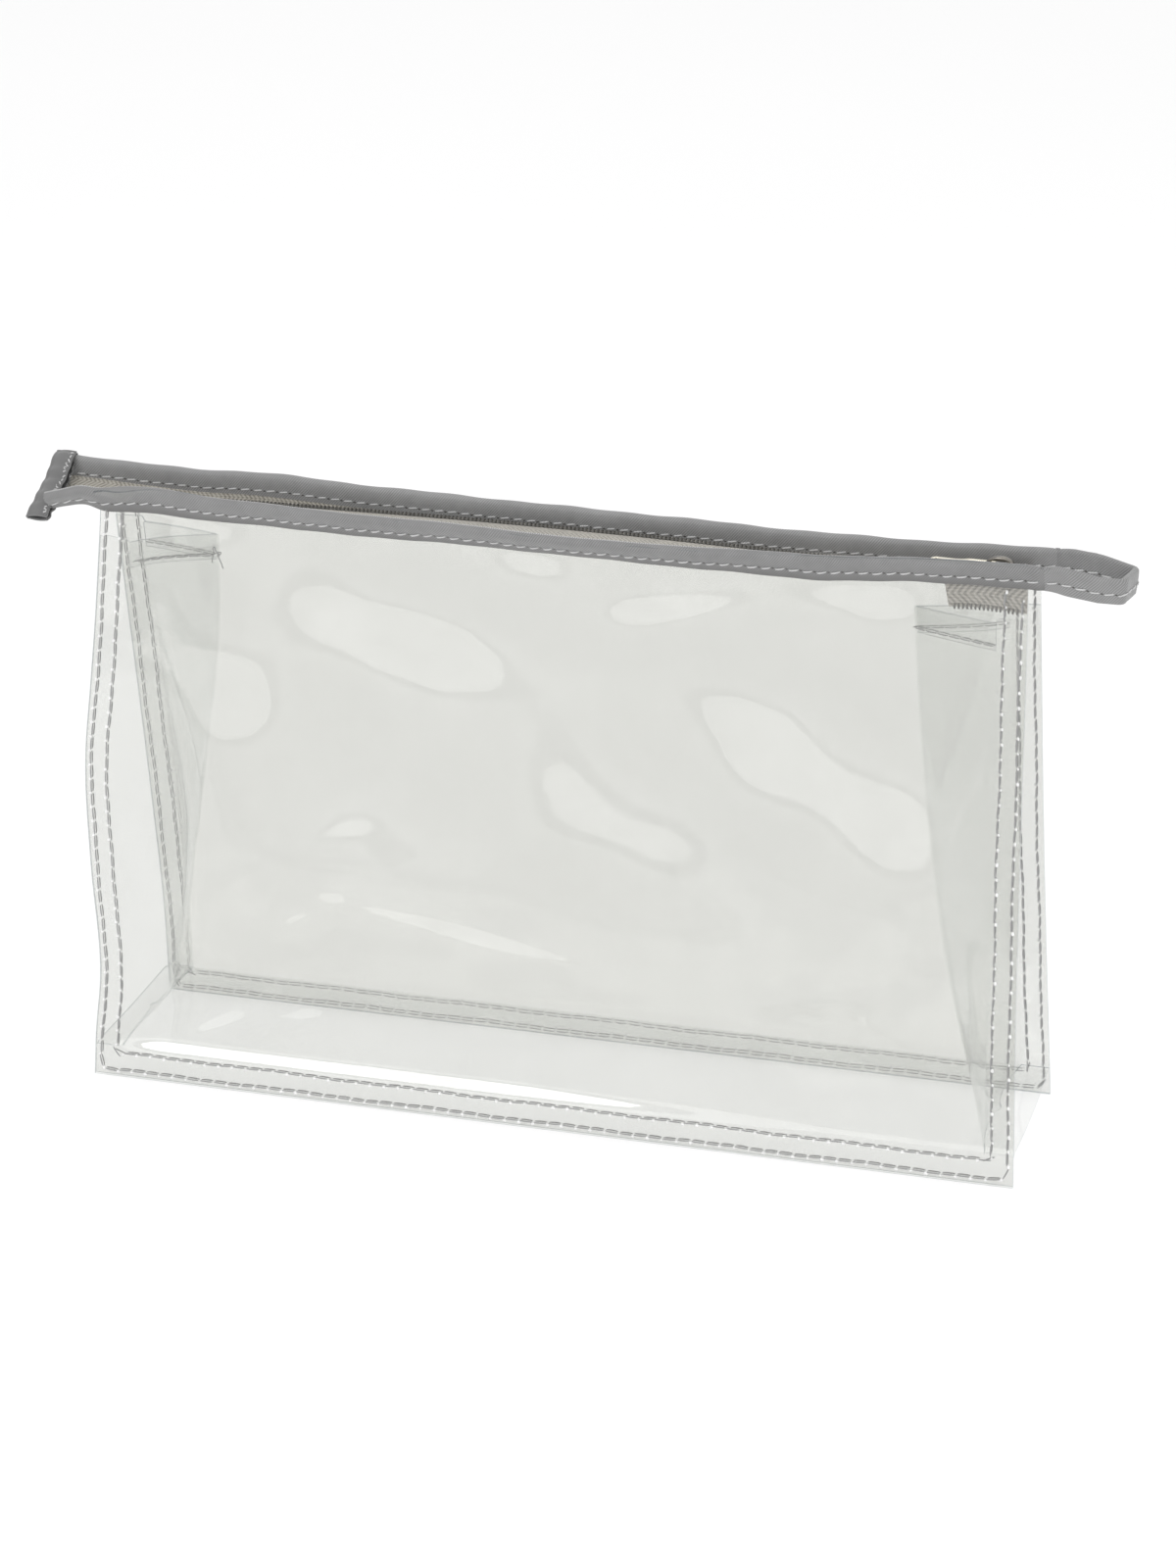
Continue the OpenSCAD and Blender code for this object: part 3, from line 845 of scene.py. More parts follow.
def side_film(hand):
    """One side of the strip, from its hem down to the bag's floor, with the turned hem behind its top."""
    heights = np.concatenate([[BASE_Z - 0.2 * MM], BASE_Z + (HEM_TOP - BASE_Z) * np.linspace(0.02, 1, 80) ** 1.3])
    grid = np.array([side_section(hand, z) for z in heights])
    across = 1 - np.abs(np.linspace(-1, 1, grid.shape[1])) ** 2
    grid[:, :, 2] += (1.9 * MM if hand == LEFT else -0.5 * MM) * smooth(heights, 0.05, HEM_TOP)[:, None] * across
    if hand == LEFT:
        grid = grid[:, ::-1]
    name = "left_gusset" if hand == LEFT else "right_gusset"
    piece = shell(name + "_film", grid, FILM_T * 0.8, [GUSSET_FILM, FILM_EDGE])
    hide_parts(name)
    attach(piece, "bag")
    rows = 9
    inward = grid_normals(grid)[-rows] * 0.55 * MM
    layer = np.array([
        [[np.interp(column[-1, 2] - HEM_H * (1 - t), column[:, 2], column[:, i]) for i in range(3)] for column in grid.transpose(1, 0, 2)]
        for t in np.linspace(0, 1, rows)
    ])
    layer = (layer - inward)[:, 6:-6]
    hem = shell(name + "_hem", layer, FILM_T * 0.7, [GUSSET_FILM, FILM_EDGE])
    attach(hem, "bag")
    return grid


left_grid = side_film(LEFT)
right_grid = side_film(RIGHT)


def floor_film():
    """The bottom of the strip, with its two seam allowances turned down."""
    u = np.linspace(-HALF_W, HALF_W, 120)
    down = np.linspace(0.15 * MM, BASE_Z - 0.6 * MM, 7)
    flanges = [
        np.array([[allowance(x, z, side) for z in order] for x in u])
        for side, order in ((FRONT, down), (REAR, down[::-1]))
    ]
    t = np.linspace(0, 1, 23)[1:-1][None, :, None]
    front = np.array([allowance(x, BASE_Z, FRONT) for x in u])[:, None]
    rear = np.array([allowance(x, BASE_Z, REAR) for x in u])[:, None]
    web = front * (1 - t) + rear * t
    sag = 0.5 * np.sin(2 * np.pi * u / 0.07) - 0.6 - 0.35 * np.sin(2 * np.pi * u / 0.031 + 1)
    web[:, :, 2] += MM * sag[:, None] * np.sin(np.pi * t[0, :, 0])[None]
    grid = np.concatenate([flanges[0], web, flanges[1]], axis=1)
    piece = shell("base_gusset_film", grid, FILM_T * 0.8, [GUSSET_FILM, FILM_EDGE])
    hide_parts("base_gusset")
    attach(piece, "bag")


floor_film()


# ---------------------------------------------------------------- the bindings and the loop

INNER_LEG = {FRONT: 5.3 * MM, REAR: 6.1 * MM}
OUTER_AT, INNER_AT, TAPE_AT = 0.55 * MM, -1.15 * MM, -0.55 * MM
LOOP_START = 129.6 * MM
LOOP_END = 149.6 * MM


def upright(u, side, w, h):
    """A place in a binding: w outwards from the film's middle and h up from the foot, before the mouth's lean."""
    foot_y, foot_z, lean = mouth_frame(u, side)
    y = side * (foot_y + w * math.cos(lean) + h * math.sin(lean))
    return (MIDDLE_X + u, y, foot_z - w * math.sin(lean) + h * math.cos(lean))


def binding_tall(u, side):
    """The height of a binding over its foot."""
    return 7.3 * MM if side == REAR else (6.9 - 0.5 * smooth(u, 0.055, 0.085)) * MM


def strip_lines(tall, inner_leg, outer_at, inner_at):
    """The strip's middle line across: up the inner leg, over the fold and down the outer leg, as (w, h) places."""
    half = (outer_at - inner_at) / 2
    middle = (outer_at + inner_at) / 2
    shoulder = tall - half - FABRIC_T / 2
    lines = [(inner_at, h) for h in np.linspace(tall - inner_leg, shoulder, 9)[:-1]]
    lines += [(middle - half * math.cos(a), shoulder + half * math.sin(a)) for a in np.linspace(0, math.pi, 11)]
    return lines + [(outer_at, h) for h in np.linspace(shoulder, 0.0, 11)[1:]]


def binding_row(u, side):
    """One row of a binding's grid, with the slack of soft ribbon between its stitches."""
    row = []
    free = smooth(LOOP_START - u, 0.0, 0.005)
    pinch = 0.4 * MM * (1 - smooth(LOOP_START - u, 0.0, 0.0022))
    for k, (w, h) in enumerate(strip_lines(binding_tall(u, side), INNER_LEG[side], OUTER_AT, INNER_AT)):
        outward = 1 if k > 13 else -1
        puff = 0.16 * MM * math.sin(math.pi * min(max((h - 3.2 * MM) / (3.4 * MM), 0), 1))
        ruck = 0.1 * MM * math.sin(u / RIBBON_PITCH * 2 * math.pi) * math.exp(-(((h - ROW_H) / (1.2 * MM)) ** 2))
        wander = (0.12 * MM * math.sin(u * 170 + side) + 0.1 * MM * math.sin(u * 410)) * (1 if k > 13 else 0.5)
        row.append(upright(u, side, w + outward * ((puff - ruck) * free - pinch), h + wander * free))
    return row


RIBBON_PITCH = 3.55 * MM
FILM_PITCH = 3.9 * MM
ROW_H = 3.2 * MM


def binding(side):
    u = np.linspace(-0.1325, LOOP_START, 440)
    grid = np.array([binding_row(x, side) for x in u])
    if side == REAR:
        grid = grid[::-1]
    name = "front_binding" if side == FRONT else "rear_binding"
    piece = shell(name + "_ribbon", grid, FABRIC_T, [FRONT_BINDING if side == FRONT else REAR_BINDING])
    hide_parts(name)
    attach(piece, "bag")
    return grid


front_grid = binding(FRONT)
rear_grid = binding(REAR)


def rounded_path(corners, radius, count):
    """A path of points through corners in plan, each turned with a small radius."""
    corners = np.array(corners, float)
    points = [corners[0]]
    for before, corner, after in zip(corners, corners[1:], corners[2:]):
        a, b = before - corner, after - corner
        a, b = a / np.linalg.norm(a), b / np.linalg.norm(b)
        t = np.linspace(0, 1, count)[:, None]
        points += list((1 - t) ** 2 * (corner + a * radius) + 2 * t * (1 - t) * corner + t * t * (corner + b * radius))
    points.append(corners[-1])
    points = np.array(points)
    gone = np.concatenate([[0], np.cumsum(np.linalg.norm(np.diff(points, axis=0), axis=1))])
    even = np.linspace(0, gone[-1], 110)
    return np.stack([np.interp(even, gone, points[:, i]) for i in range(2)], axis=1)


def loop_ribbon():
    """The two bindings run on as one ribbon, creased square at its end."""
    start, end = LOOP_START / MM, LOOP_END / MM
    front_y = -mouth_frame(LOOP_START, FRONT)[0] / MM
    rear_y = mouth_frame(LOOP_START, REAR)[0] / MM
    path = rounded_path(
        [(start, front_y), (start + 5, -6.1), (end - 1.4, -5.9), (end - 0.5, 4.7), (start + 8, 5.6), (start, rear_y)], 1.0, 7,
    ) * MM
    tangent = np.gradient(path, axis=0)
    tangent /= np.linalg.norm(tangent, axis=1, keepdims=True)
    outward = np.column_stack([tangent[:, 1], -tangent[:, 0]])
    share = np.linspace(0, 1, len(path))
    foot_at = (0, 0.12, 0.27, 0.42, 0.5, 0.6, 0.8, 1)
    foot = np.interp(share, foot_at, (155.6, 154.4, 153.4, 153.4, 152.9, 152.5, 154.0, 154.2)) * MM
    tall = np.interp(share, (0, 0.12, 0.27, 0.42, 0.6, 0.75, 1), (7.0, 7.2, 6.6, 6.5, 6.6, 7.2, 7.3)) * MM
    rows = []
    for k, (x, y) in enumerate(path):
        side = FRONT if share[k] < 0.5 else REAR
        merge = 1 - smooth(min(share[k], 1 - share[k]), 0.0, 0.1)
        keep = 1 - merge
        _, mouth_z, mouth = mouth_frame(LOOP_START, side)
        lean = mouth * merge + math.radians(6) * keep
        at_foot = foot[k] * keep + mouth_z * merge
        out = outward[k] * keep + np.array([0.0, side]) * merge
        out /= np.linalg.norm(out)
        pinch = 0.4 * MM * (1 - smooth(min(share[k], 1 - share[k]), 0.0, 0.045))
        row = []
        lines = strip_lines(
            tall[k] * keep + binding_tall(LOOP_START, side) * merge,
            6.6 * MM * keep + INNER_LEG[side] * merge, OUTER_AT - 0.1 * MM * keep, INNER_AT + 0.5 * MM * keep,
        )
        for i, (w, h) in enumerate(lines):
            puff = (0.12 * MM * math.sin(math.pi * h / tall[k]) * keep - pinch) * (1 if i > 13 else -1)
            off = (w + puff) * math.cos(lean) + h * math.sin(lean)
            up = at_foot - w * math.sin(lean) + h * math.cos(lean)
            row.append((MIDDLE_X + x + out[0] * off, y + out[1] * off, up))
        rows.append(row)
    grid = np.array(rows)
    piece = shell("loop_ribbon", grid, FABRIC_T, [LOOP_RIBBON])
    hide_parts("loop_handle")
    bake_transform(piece)
    return grid


loop_grid = loop_ribbon()


# ---------------------------------------------------------------- the zip

# How far the closing line stands up and back along the mouth, in millimetres.
ZIP_RISE = ((-135, 0.0), (-110, 0.0), (-85, 0.4), (-45, 0.8), (20, 0.75), (60, 0.25), (88, 0.0), (125, 0.0))
ZIP_BACK = (
    (-135, 0.0), (-124, 0.1), (-112, 0.7), (-92, 1.8), (-60, 2.3), (10, 2.3), (50, 1.4), (86, 0.0), (125, 0.0),
)


def zip_rise(u):
    """How far the closed zip bows up along its middle."""
    return through(u, ZIP_RISE) * MM


def zip_back(u):
    """How far the closing line is drawn back towards the rear binding, where the mouth leans out in front."""
    return through(u, ZIP_BACK) * MM


def tape_row(u, side):
    """The tape's middle line across: down inside the binding, then level to the zip's middle."""
    leg = [upright(u, side, TAPE_AT, h)[1:] for h in np.linspace((5.8 if side == FRONT else 6.7) * MM, 2.3 * MM, 6)]
    begin = np.array(upright(u, side, TAPE_AT - 0.5 * MM, 1.9 * MM)[1:])
    middle = np.array([zip_back(u) + side * 1.0 * MM, TAPE_Z - TAPE_T / 2 + zip_rise(u)])
    hump = 0.75 * MM if side == FRONT else 0.2 * MM - 1.75 * zip_back(u)
    web = []
    for t in np.linspace(0, 1, 15):
        y, z = begin + (middle - begin) * t
        arch = math.sin(math.pi * t)
        web.append((y, z + hump * arch * (1 - t) + 0.12 * MM * math.sin(u * 140 + side) * arch))
    return [(MIDDLE_X + u, y, z) for y, z in leg + web]


def folded_end():
    """The end of the front tape, folded back behind the panel with its coil edge down."""
    left, right, low = HALF_W - 0.0205, HALF_W - 0.0005, TAPE_Z - 7.0 * MM
    u = np.linspace(left, right, 40)
    z = np.linspace(low, TAPE_Z + 1.0 * MM, 14)
    uu, zz = np.meshgrid(u, z, indexing="ij")
    uu = uu - 1.6 * MM * (zz - low) / (z[-1] - low) * (1 - (uu - left) / (right - left))
    points = panel_point(FRONT, uu, np.minimum(zz, BINDING_LOW))[0]
    points[:, :, 2] = zz + 0.3 * MM * np.sin((uu - left) * 200)
    points[:, :, 1] += 0.9 * MM + 0.3 * MM * np.sin((uu - left) * 150)
    piece = shell("folded_tape_end", points, TAPE_T, [TAPE_END])
    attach(piece, "bag")
    return piece, points[:, 0]


tail_piece, tail_edge = folded_end()


def tape(side):
    u = np.linspace(-0.1325, HALF_W - 0.6 * MM, 300)
    grid = np.array([tape_row(x, side) for x in u])
    if side == REAR:
        grid = grid[::-1]
    name = "front_tape" if side == FRONT else "rear_tape"
    piece = shell(name + "_weave", grid, TAPE_T, [TAPE])
    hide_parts(name)
    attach(piece, "bag")


tape(FRONT)
tape(REAR)


def coil(side):
    u = np.linspace(-0.131, HALF_W - 1.0 * MM, 400)
    line = np.column_stack([MIDDLE_X + u, zip_back(u) + side * 0.5 * MM, TAPE_Z + zip_rise(u) - 0.3 * MM])
    start = 0.0 if side == FRONT else 0.52 * MM
    at, way, out = evenly(line, np.tile((0.0, 0.0, -1.0), (len(u), 1)), TOOTH_PITCH, start)
    if side == REAR:
        way = -way
    name = "front_coil" if side == FRONT else "rear_coil"
    piece = repeated(name + "_teeth", [(at, way, out)], TOOTH, 1.0 * MM, 0.72 * MM, 0.95 * MM, COIL, 0.0)
    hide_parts(name)
    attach(piece, "bag")


coil(FRONT)
coil(REAR)

tail_line = tail_edge[2:-2] + np.array([0, -0.1 * MM, 0.1 * MM])
tail_rows = evenly(tail_line, np.tile((0.0, -1.0, 0.0), (len(tail_line), 1)), TOOTH_PITCH)
tail_teeth = repeated(
    "folded_end_teeth", [(tail_rows[0], -tail_rows[1], tail_rows[2])], TOOTH, 1.0 * MM, 0.75 * MM, 0.9 * MM, COIL, 0.0,
)
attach(tail_teeth, "bag")


# ---------------------------------------------------------------- the slider

def bevelled(name, outline, low, high, axis, material, bevel, holes=()):
    """An outline given its thickness along an axis, with rounded edges. holes are outlines cut through it."""
    curve = bpy.data.curves.new(name, "CURVE")
    curve.dimensions = "2D"
    curve.fill_mode = "BOTH"
    for points in (outline, *holes):
        spline = curve.splines.new("POLY")
        spline.points.add(len(points) - 1)
        for point, (a, b) in zip(spline.points, points):
            point.co = (a, b, 0, 1)
        spline.use_cyclic_u = True
    curve.extrude = (high - low) / 2 - bevel
    curve.bevel_depth = bevel
    curve.bevel_resolution = 3
    curve.offset = -bevel
    maker = bpy.data.objects.new(name + "_outline", curve)
    bpy.context.scene.collection.objects.link(maker)
    bpy.context.view_layer.update()
    mesh = bpy.data.meshes.new_from_object(maker.evaluated_get(bpy.context.evaluated_depsgraph_get()))
    bpy.data.objects.remove(maker)
    middle = (low + high) / 2
    turn = Matrix.Rotation(math.pi / 2, 4, "X") if axis == "Y" else Matrix.Identity(4)
    shift = Vector((0, middle, 0)) if axis == "Y" else Vector((0, 0, middle))
    mesh.transform(Matrix.Translation(shift) @ turn)
    mesh.materials.clear()
    mesh.materials.append(material)
    mesh.polygons.foreach_set("use_smooth", np.ones(len(mesh.polygons), bool))
    mesh.set_sharp_from_angle(angle=math.radians(35))
    piece = bpy.data.objects.new(name, mesh)
    bpy.context.scene.collection.objects.link(piece)
    return piece


def joined(name, pieces):
    """Several meshes made one object."""
    bpy.ops.object.select_all(action="DESELECT")
    for piece in pieces:
        piece.select_set(True)
    bpy.context.view_layer.objects.active = pieces[0]
    bpy.ops.object.join()
    pieces[0].name = name
    pieces[0].data.name = name
    return pieces[0]


def arc(x, y, radius, start, end, count=10):
    """Points on an arc, in degrees."""
    return [
        (x + radius * math.cos(math.radians(a)), y + radius * math.sin(math.radians(a)))
        for a in np.linspace(start, end, count)
    ]


def slider():
    """The slider's two plates, its wedge and its side lips."""
    heel, nose = slider_low[0], slider_high[0]
    half = slider_high[1]
    plan = (
        arc(heel + 2.4 * MM, 0, 2.4 * MM, 130, 230, 10)
        + [(heel + 3.4 * MM, -half + 0.6 * MM), (heel + 5.0 * MM, -half)]
        + arc(nose - 1.3 * MM, -half + 1.3 * MM, 1.3 * MM, -90, -20, 8)
        + [(nose - 0.55 * MM, -0.9 * MM), (nose - 1.1 * MM, 0), (nose - 0.55 * MM, 0.9 * MM)]
        + arc(nose - 1.3 * MM, half - 1.3 * MM, 1.3 * MM, 20, 90, 8)
        + [(heel + 5.0 * MM, half), (heel + 3.4 * MM, half - 0.6 * MM)]
    )
    plate = 0.8 * MM
    pieces = [
        bevelled("top_plate", plan, slider_high[2] - plate, slider_high[2], "Z", NICKEL, 0.22 * MM),
        bevelled("keel_plate", plan, slider_low[2], slider_low[2] + plate, "Z", NICKEL, 0.22 * MM),
    ]
    wedge = arc(nose - 1.8 * MM, 0, 0.3 * MM, -90, 90, 8) + [(nose - 3 * MM, 0.12 * MM), (nose - 3 * MM, -0.12 * MM)]
    pieces.append(bevelled("wedge", wedge, slider_low[2] + plate / 2, slider_high[2] - plate / 2, "Z", NICKEL, 0.04 * MM))
    for side in (-1, 1):
        back, front, inner = nose - 5 * MM, nose - 1.4 * MM, half - 0.4 * MM
        lip = [(back, side * half), (front, side * half), (front, side * inner), (back, side * inner)]
        foot, top = slider_low[2] + plate / 2, slider_low[2] + plate + 1.4 * MM
        pieces.append(bevelled("lip", lip[:: side], foot, top, "Z", NICKEL, 0.08 * MM))
    piece = joined("slider_plates", pieces)
    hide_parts("slider_body")
    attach(piece, "slider")


def crown():
    """The domed bridge of the slider, with its window for the pull's bar."""
    low, high = crown_low, crown_high
    middle = (low[0] + high[0]) / 2
    foot, top = low[2], high[2]
    half = (high[0] - low[0]) / 2
    dome = [(middle + half * math.cos(a), foot + (top - foot) * math.sin(a) ** 0.82) for a in np.linspace(0, math.pi, 26)]
    window_top = top - 1.05 * MM
    window = arc(middle - 1.6 * MM, window_top - 0.7 * MM, 0.65 * MM, 90, 180, 6)
    window += [(middle - 2.25 * MM, foot + 0.1 * MM), (middle + 2.25 * MM, foot + 0.1 * MM)]
    window += arc(middle + 1.6 * MM, window_top - 0.7 * MM, 0.65 * MM, 0, 90, 6)
    piece = bevelled("crown_bridge", dome, low[1], high[1], "Y", DARK_NICKEL, 0.42 * MM, [window])
    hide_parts("slider_crown")
    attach(piece, "slider")


def pull():
    """The pull: a bar under the crown, two cheeks beside it and a slim tab with an eye."""
    tip, bar = pull_low[0], pull_high[0] - 0.45 * MM
    half = pull_high[1]
    low, high = pull_low[2], pull_high[2]
    eye = tip + 1.6 * MM
    body = (
        arc(eye, 0, 1.6 * MM, 100, 260, 14)
        + [(bar - 9.6 * MM, -1.25 * MM), (bar - 8.2 * MM, -1.5 * MM)]
        + arc(bar - 6.6 * MM, -half + 0.8 * MM, 0.8 * MM, 210, 270, 5)
        + arc(bar - 0.1 * MM, -half + 0.55 * MM, 0.55 * MM, -90, 0, 6)
        + arc(bar - 0.1 * MM, half - 0.55 * MM, 0.55 * MM, 0, 90, 6)
        + arc(bar - 6.6 * MM, half - 0.8 * MM, 0.8 * MM, 90, 150, 5)
        + [(bar - 8.2 * MM, 1.5 * MM), (bar - 9.6 * MM, 1.25 * MM)]
    )
    inner = 1.22 * MM
    window = [(bar - 0.42 * MM, -inner), (bar - 0.42 * MM, inner)] + arc(bar - 5.4 * MM, 0, inner, 90, 270, 10)
    hole = arc(eye, 0, 0.9 * MM, 0, 345, 20)
    piece = bevelled("pull_plate", body, low, high, "Z", PALE_NICKEL, 0.28 * MM, [window, hole])
    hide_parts("pull_tab")
    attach(piece, "pull")


slider()
crown()
pull()


# ---------------------------------------------------------------- the end tab

def end_tab():
    """The ribbon that wraps the flattened ends of the zip and the bindings, open at its front foot."""
    left, right = tab_low[0], tab_high[0]
    top = np.array([0.0, tab_high[1] - 0.9 * MM, tab_high[2] - 0.7 * MM])
    foot = np.array([0.0, tab_low[1] + 0.4 * MM, tab_low[2] + 1.2 * MM])
    run = foot - top
    length = float(np.linalg.norm(run))
    run /= length
    up = np.cross((1.0, 0.0, 0.0), run)
    rows = np.linspace(0, 1, 60)
    grid = []
    for t in rows:
        thick = along(t, ((0.0, 0.5), (0.08, 1.5), (0.45, 1.75), (0.8, 1.5), (0.94, 1.25), (1.0, 1.0))) * MM
        shift = along(t, ((0.0, 0.25), (0.35, 0.1), (0.7, -0.25), (1.0, -0.9))) * MM
        sway = along(t, ((0.0, 0.0), (0.4, 0.5), (0.75, -0.4), (1.0, -0.6))) * MM
        narrow = along(t, ((0.0, 0.4), (0.06, 0.0), (1.0, 0.0))) * MM
        centre = top + run * length * t + up * sway
        wide = (right - left) - 2 * narrow
        line = []
        steps = np.linspace(0, 1, 12)
        lip = 0.35 * MM * math.sin(t * 55) * 0.5
        for s in steps:
            line.append((right + shift + lip - wide * s, thick * (0.55 + 0.45 * math.sin(math.pi * min(1, s * 1.1)) ** 0.8)))
        for a in np.linspace(0, math.pi, 9)[1:-1]:
            line.append((left + narrow + shift - 0.0 * MM - 0.35 * MM * math.sin(a), thick * 0.5 * math.cos(a)))
        for s in steps[::-1]:
            line.append((right + shift - wide * s, -thick * (0.55 + 0.45 * math.sin(math.pi * min(1, s * 1.1)) ** 0.8)))
        ruck = 0.18 * MM * math.sin(t * 34)
        grid.append([tuple(centre + up * (h + ruck) + np.array([x, 0, 0])) for x, h in line])
    grid = np.array(grid)
    piece = shell("end_tab_ribbon", grid, FABRIC_T * 0.8, [TAB_RIBBON], cut=cut_map(grid)[:, :, ::-1])
    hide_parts("end_tab")
    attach(piece, "bag")
    return grid


tab_grid = end_tab()


# ---------------------------------------------------------------- the sewing

def seam_lines():
    """The two rows that sew a panel to the strip, as nominal places on the panel."""
    top = BINDING_LOW - 0.3 * MM
    lines = []
    for row in (OUTER_ROW, INNER_ROW):
        low = row + (0.6 * MM if row == INNER_ROW else 0.0)
        turn = 3.0 * MM if row == OUTER_ROW else 0.3 * MM
        edge = HALF_W - row
        bend = np.linspace(0, math.pi / 2, 7)
        left = [(-edge, z) for z in np.linspace(top, low + turn, 80)]
        corner_a = [(-edge + turn * (1 - math.cos(a)), low + turn * (1 - math.sin(a))) for a in bend[1:]]
        bottom = [(x, low) for x in np.linspace(-edge + turn, edge - turn, 140)][1:]
        corner_b = [(edge - turn + turn * math.sin(a), low + turn * (1 - math.cos(a))) for a in bend[1:]]
        right = [(edge, z) for z in np.linspace(low + turn, top, 80)][1:]
        places = np.array(left + corner_a + bottom + corner_b + right)
        x, z = places[:, 0], places[:, 1]
        wander = 0.14 * MM * np.sin(x * 160 + z * 130) + 0.07 * MM * np.sin(x * 531 - z * 473)
        lines.append(places + wander[:, None])
    return lines


def seam_thread(side):
    name = "front_seam" if side == FRONT else "rear_seam"
    rows, holes = [], []
    for places in seam_lines():
        for out, flip in ((FILM_T / 2, 1), (-FILM_T * 1.6, -1)):
            points, normals = panel_point(side, places[:, 0], places[:, 1], out)
            rows.append(evenly(points, normals * flip, FILM_PITCH))
        points, normals = panel_point(side, places[:, 0], places[:, 1], FILM_T / 2)
        holes.append(evenly(points, normals, FILM_PITCH, FILM_PITCH / 2))
    piece = repeated(name + "_stitches", rows, STITCH, FILM_PITCH * 0.88, 0.42 * MM, 0.36 * MM, FILM_THREAD, 0.06)
    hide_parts(name + "_thread")
    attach(piece, "bag")
    puckers(name + "_puckers", holes)


def puckers(name, holes):
    """The film stands up in a small blister beside each needle hole, coloured white as a painted highlight."""
    for row in holes:
        row[0][:] += np.cross(row[1], row[2]) * 0.42 * MM
    piece = repeated(name, holes, BLISTER, 1.25 * MM, 0.85 * MM, 0.34 * MM, PUCKER, 0.45, 11)
    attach(piece, "bag")


seam_thread(FRONT)
seam_thread(REAR)


def row_on(grid, height, column_span):
    """The line along a ribbon's grid where one leg has a given share of its columns."""
    low, high, share = column_span[0], column_span[1], height
    return grid[:, low] * (1 - share) + grid[:, high] * share


def ribbon_rows(grid):
    """The stitch rows of a folded ribbon: on its inner leg and on its outer leg."""
    normals = grid_normals(grid)
    rows = []
    for low, high, share in ((2, 3, 0.6), (23, 24, 0.4)):
        line = row_on(grid, share, (low, high)) - normals[:, low] * FABRIC_T * 0.5
        rows.append((line, -normals[:, low]))
    return rows


def ribbon_thread(name, node, body, grid):
    rows = []
    for line, normals in ribbon_rows(grid):
        at, way, out = evenly(line, normals, RIBBON_PITCH)
        slant = np.cross(out, way) * 0.16
        rows.append((at, way + slant, out))
    piece = repeated(name, rows, STITCH, RIBBON_PITCH * 0.74, 0.46 * MM, 0.4 * MM, BINDING_THREAD, 0.1)
    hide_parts(node)
    if body == "loop":
        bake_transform(piece)
    else:
        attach(piece, body)
    holes = []
    for line, normals in ribbon_rows(grid):
        at, way, out = evenly(line, normals, RIBBON_PITCH, RIBBON_PITCH / 2)
        holes.append((at, way, out))
    sunk = repeated(name + "_holes", holes, BLISTER, 0.8 * MM, 0.5 * MM, 0.1 * MM, NEEDLE_HOLE, 0.2, 5)
    if body == "loop":
        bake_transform(sunk)
    else:
        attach(sunk, body)


ribbon_thread("front_binding_stitches", "front_binding_thread", "bag", front_grid)
ribbon_thread("rear_binding_stitches", "rear_binding_thread", "bag", rear_grid)
ribbon_thread("loop_stitches", "loop_thread", "loop", loop_grid)


def thread_tail(start, points, radius=0.16 * MM):
    """A short loose end of thread as a closed tube. points are steps from its start."""
    line = np.array(start) + np.array(points, float) * MM
    t = np.linspace(0, len(line) - 1, 4 * len(line))
    line = np.stack([np.interp(t, range(len(line)), line[:, i]) for i in range(3)], axis=1)
    for _ in range(3):
        line[1:-1] = (line[:-2] + 2 * line[1:-1] + line[2:]) / 4
    tangent, side = path_normals(line, (0.3, 0.2, 1.0))
    other = np.cross(tangent, side)
    sides = 6
    turns = 2 * np.pi * np.arange(sides) / sides
    rings = line[:, None] + radius * (np.cos(turns)[None, :, None] * side[:, None] + np.sin(turns)[None, :, None] * other[:, None])
    faces = [
        (i * sides + k, i * sides + (k + 1) % sides, (i + 1) * sides + (k + 1) % sides, (i + 1) * sides + k)
        for i in range(len(line) - 1)
        for k in range(sides)
    ]
    last = (len(line) - 1) * sides
    faces += [tuple(range(sides - 1, -1, -1)), tuple(range(last, last + sides))]
    return new_object("thread_tail", rings.reshape(-1, 3), faces, [FILM_THREAD])


def hem_thread(hand, grid):
    """The row that holds a side's hem, on the leaves' outer and inner faces, with its loose ends at the fold."""
    row = []
    for k in range(6, grid.shape[1] - 6):
        column = grid[:, k]
        height = column[-1, 2] - 5.6 * MM
        row.append([np.interp(height, column[:, 2], column[:, i]) for i in range(3)])
    row = np.array(row)
    normals = grid_normals(grid)[-8, 6 : grid.shape[1] - 6]
    rows = [
        evenly(row + normals * 0.3 * MM, normals, FILM_PITCH * 0.85),
        evenly(row - normals * 0.8 * MM, -normals, FILM_PITCH * 0.85),
    ]
    name = "left_hem" if hand == LEFT else "right_hem"
    pieces = [repeated(name + "_stitches", rows, STITCH, FILM_PITCH * 0.82, 0.42 * MM, 0.36 * MM, FILM_THREAD, 0.06)]
    if hand == LEFT:
        tip = row[len(row) // 2]
        pieces += [
            thread_tail(tip, [(0, 0, 0), (-0.6, -0.8, 1.4), (-0.3, -1.4, 2.6), (-1.2, -1.0, 2.2), (-1.0, -0.6, 0.8)]),
            thread_tail(tip, [(-0.4, 0, 0), (0.4, -0.9, -0.8), (1.2, -1.4, -1.9), (1.6, -1.5, -3.2)]),
            thread_tail(tip, [(-1.4, 0.2, 0.1), (-1.6, -0.8, -0.9), (-1.5, -1.2, -2.0)]),
        ]
    piece = joined(name + "_stitches", pieces)
    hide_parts(name + "_thread")
    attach(piece, "bag")


hem_thread(LEFT, left_grid)
hem_thread(RIGHT, right_grid)


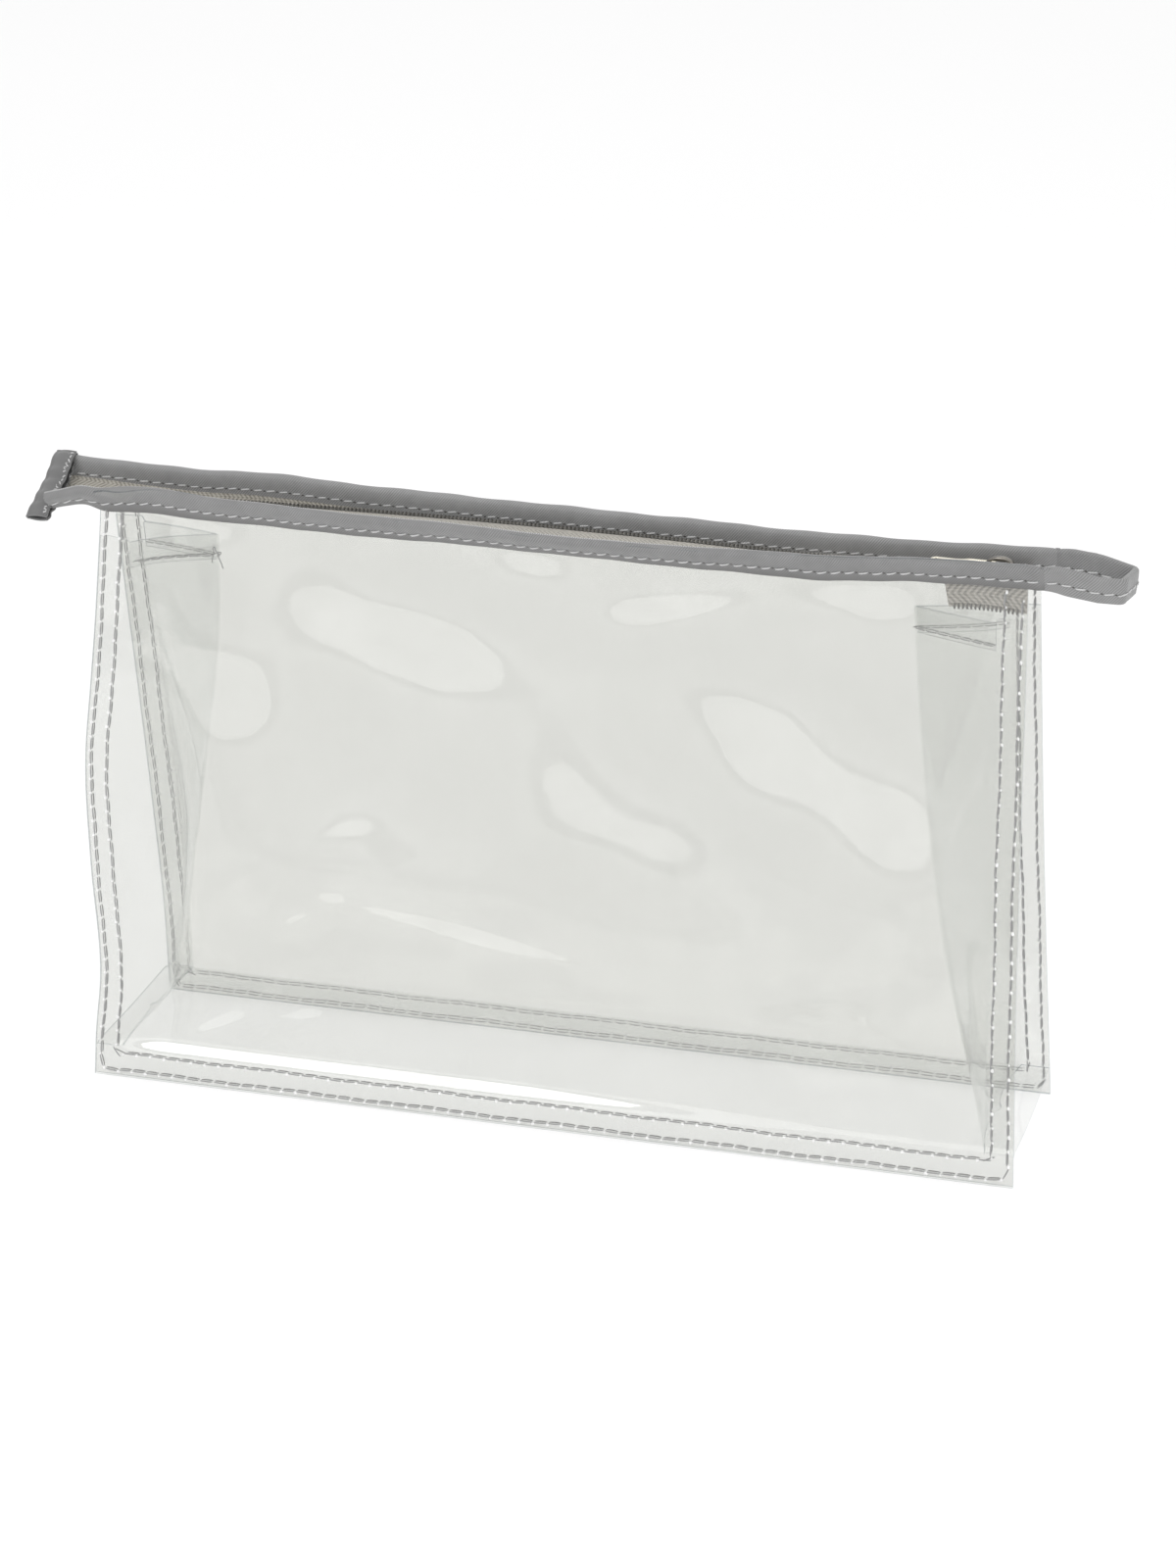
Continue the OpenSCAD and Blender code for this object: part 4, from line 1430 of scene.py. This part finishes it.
def tab_thread():
    """The zigzag row down the tab's inner edge."""
    normals = grid_normals(tab_grid)
    count = len(tab_grid)
    lines = []
    for column in (1, tab_grid.shape[1] - 2):
        zigzag = np.where(np.arange(count) % 4 < 2, 0.45, -0.35) * MM
        points = tab_grid[:, column] + normals[:, column] * FABRIC_T * 0.4
        points[:, 0] -= 0.55 * MM + zigzag
        lines.append(evenly(points[2:-3], normals[2:-3, column], 1.15 * MM))
    piece = repeated("end_tab_stitches", lines, STITCH, 1.15 * MM, 0.42 * MM, 0.36 * MM, BINDING_THREAD, 0.08)
    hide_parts("end_tab_thread")
    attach(piece, "bag")


tab_thread()


# ---------------------------------------------------------------- floor, light and camera

def floor():
    s = Shader("pale_floor")
    cloud = s.noise(s.place(), 3.0, 2.0)
    paint = s.principled(Base_Color=s.blend(cloud, (0.93, 0.93, 0.93, 1), (0.95, 0.95, 0.95, 1)), Roughness=0.9)
    size = 9.0
    piece = new_object(
        "floor", [(-size, -size, 0), (size, -size, 0), (size, size, 0), (-size, size, 0)], [(0, 1, 2, 3)], [s.finish(paint)],
    )


def area_light(name, place, target, size, power, colour=(1, 1, 1)):
    light = bpy.data.lights.new(name, "AREA")
    light.shape = "RECTANGLE"
    light.size, light.size_y = size
    light.energy = power
    light.color = colour
    lamp = bpy.data.objects.new(name, light)
    bpy.context.scene.collection.objects.link(lamp)
    lamp.location = place
    lamp.rotation_euler = (Vector(target) - Vector(place)).to_track_quat("-Z", "Y").to_euler()


def studio():
    scene = bpy.context.scene
    world = bpy.data.worlds.new("studio")
    scene.world = world
    world.use_nodes = True
    backdrop = world.node_tree.nodes["Background"]
    backdrop.inputs["Color"].default_value = (1.0, 1.0, 1.0, 1.0)
    backdrop.inputs["Strength"].default_value = 0.96
    area_light("overhead", (0.1, 0.2, 1.6), (0, 0, 0), (1.4, 1.0), 1.6)
    area_light("front_softbox", (-0.5, -1.2, 1.1), (0, 0, 0.06), (0.9, 0.5), 5.0)
    area_light("front_card", (-0.5, -1.6, 0.36), (0, 0, 0.3), (1.6, 0.6), 2.4)
    area_light("right_strip", (1.3, -0.5, 0.5), (0, 0, 0.08), (0.25, 1.0), 2.5)
    scene.view_settings.view_transform = "Standard"
    scene.view_settings.look = "None"
    scene.cycles.transparent_max_bounces = 40


def camera():
    """The camera, from its place, its turn about Z, its look down and its roll."""
    yaw, pitch, roll = math.radians(-18.2), math.radians(24.0), math.radians(-1.7)
    forward = Vector((math.sin(yaw) * math.cos(pitch), math.cos(yaw) * math.cos(pitch), -math.sin(pitch)))
    right = Vector((math.cos(yaw), -math.sin(yaw), 0))
    up = right.cross(forward)
    right, up = right * math.cos(roll) + up * math.sin(roll), up * math.cos(roll) - right * math.sin(roll)
    data = bpy.data.cameras.new("camera")
    data.lens = 107.8
    data.sensor_width = 36
    body = bpy.data.objects.new("camera", data)
    bpy.context.scene.collection.objects.link(body)
    turn = Matrix((right, up, -forward)).transposed().to_4x4()
    body.matrix_world = Matrix.Translation((0.354 + MIDDLE_X, -1.05, 0.58)) @ turn
    bpy.context.scene.camera = body


floor()
studio()
camera()
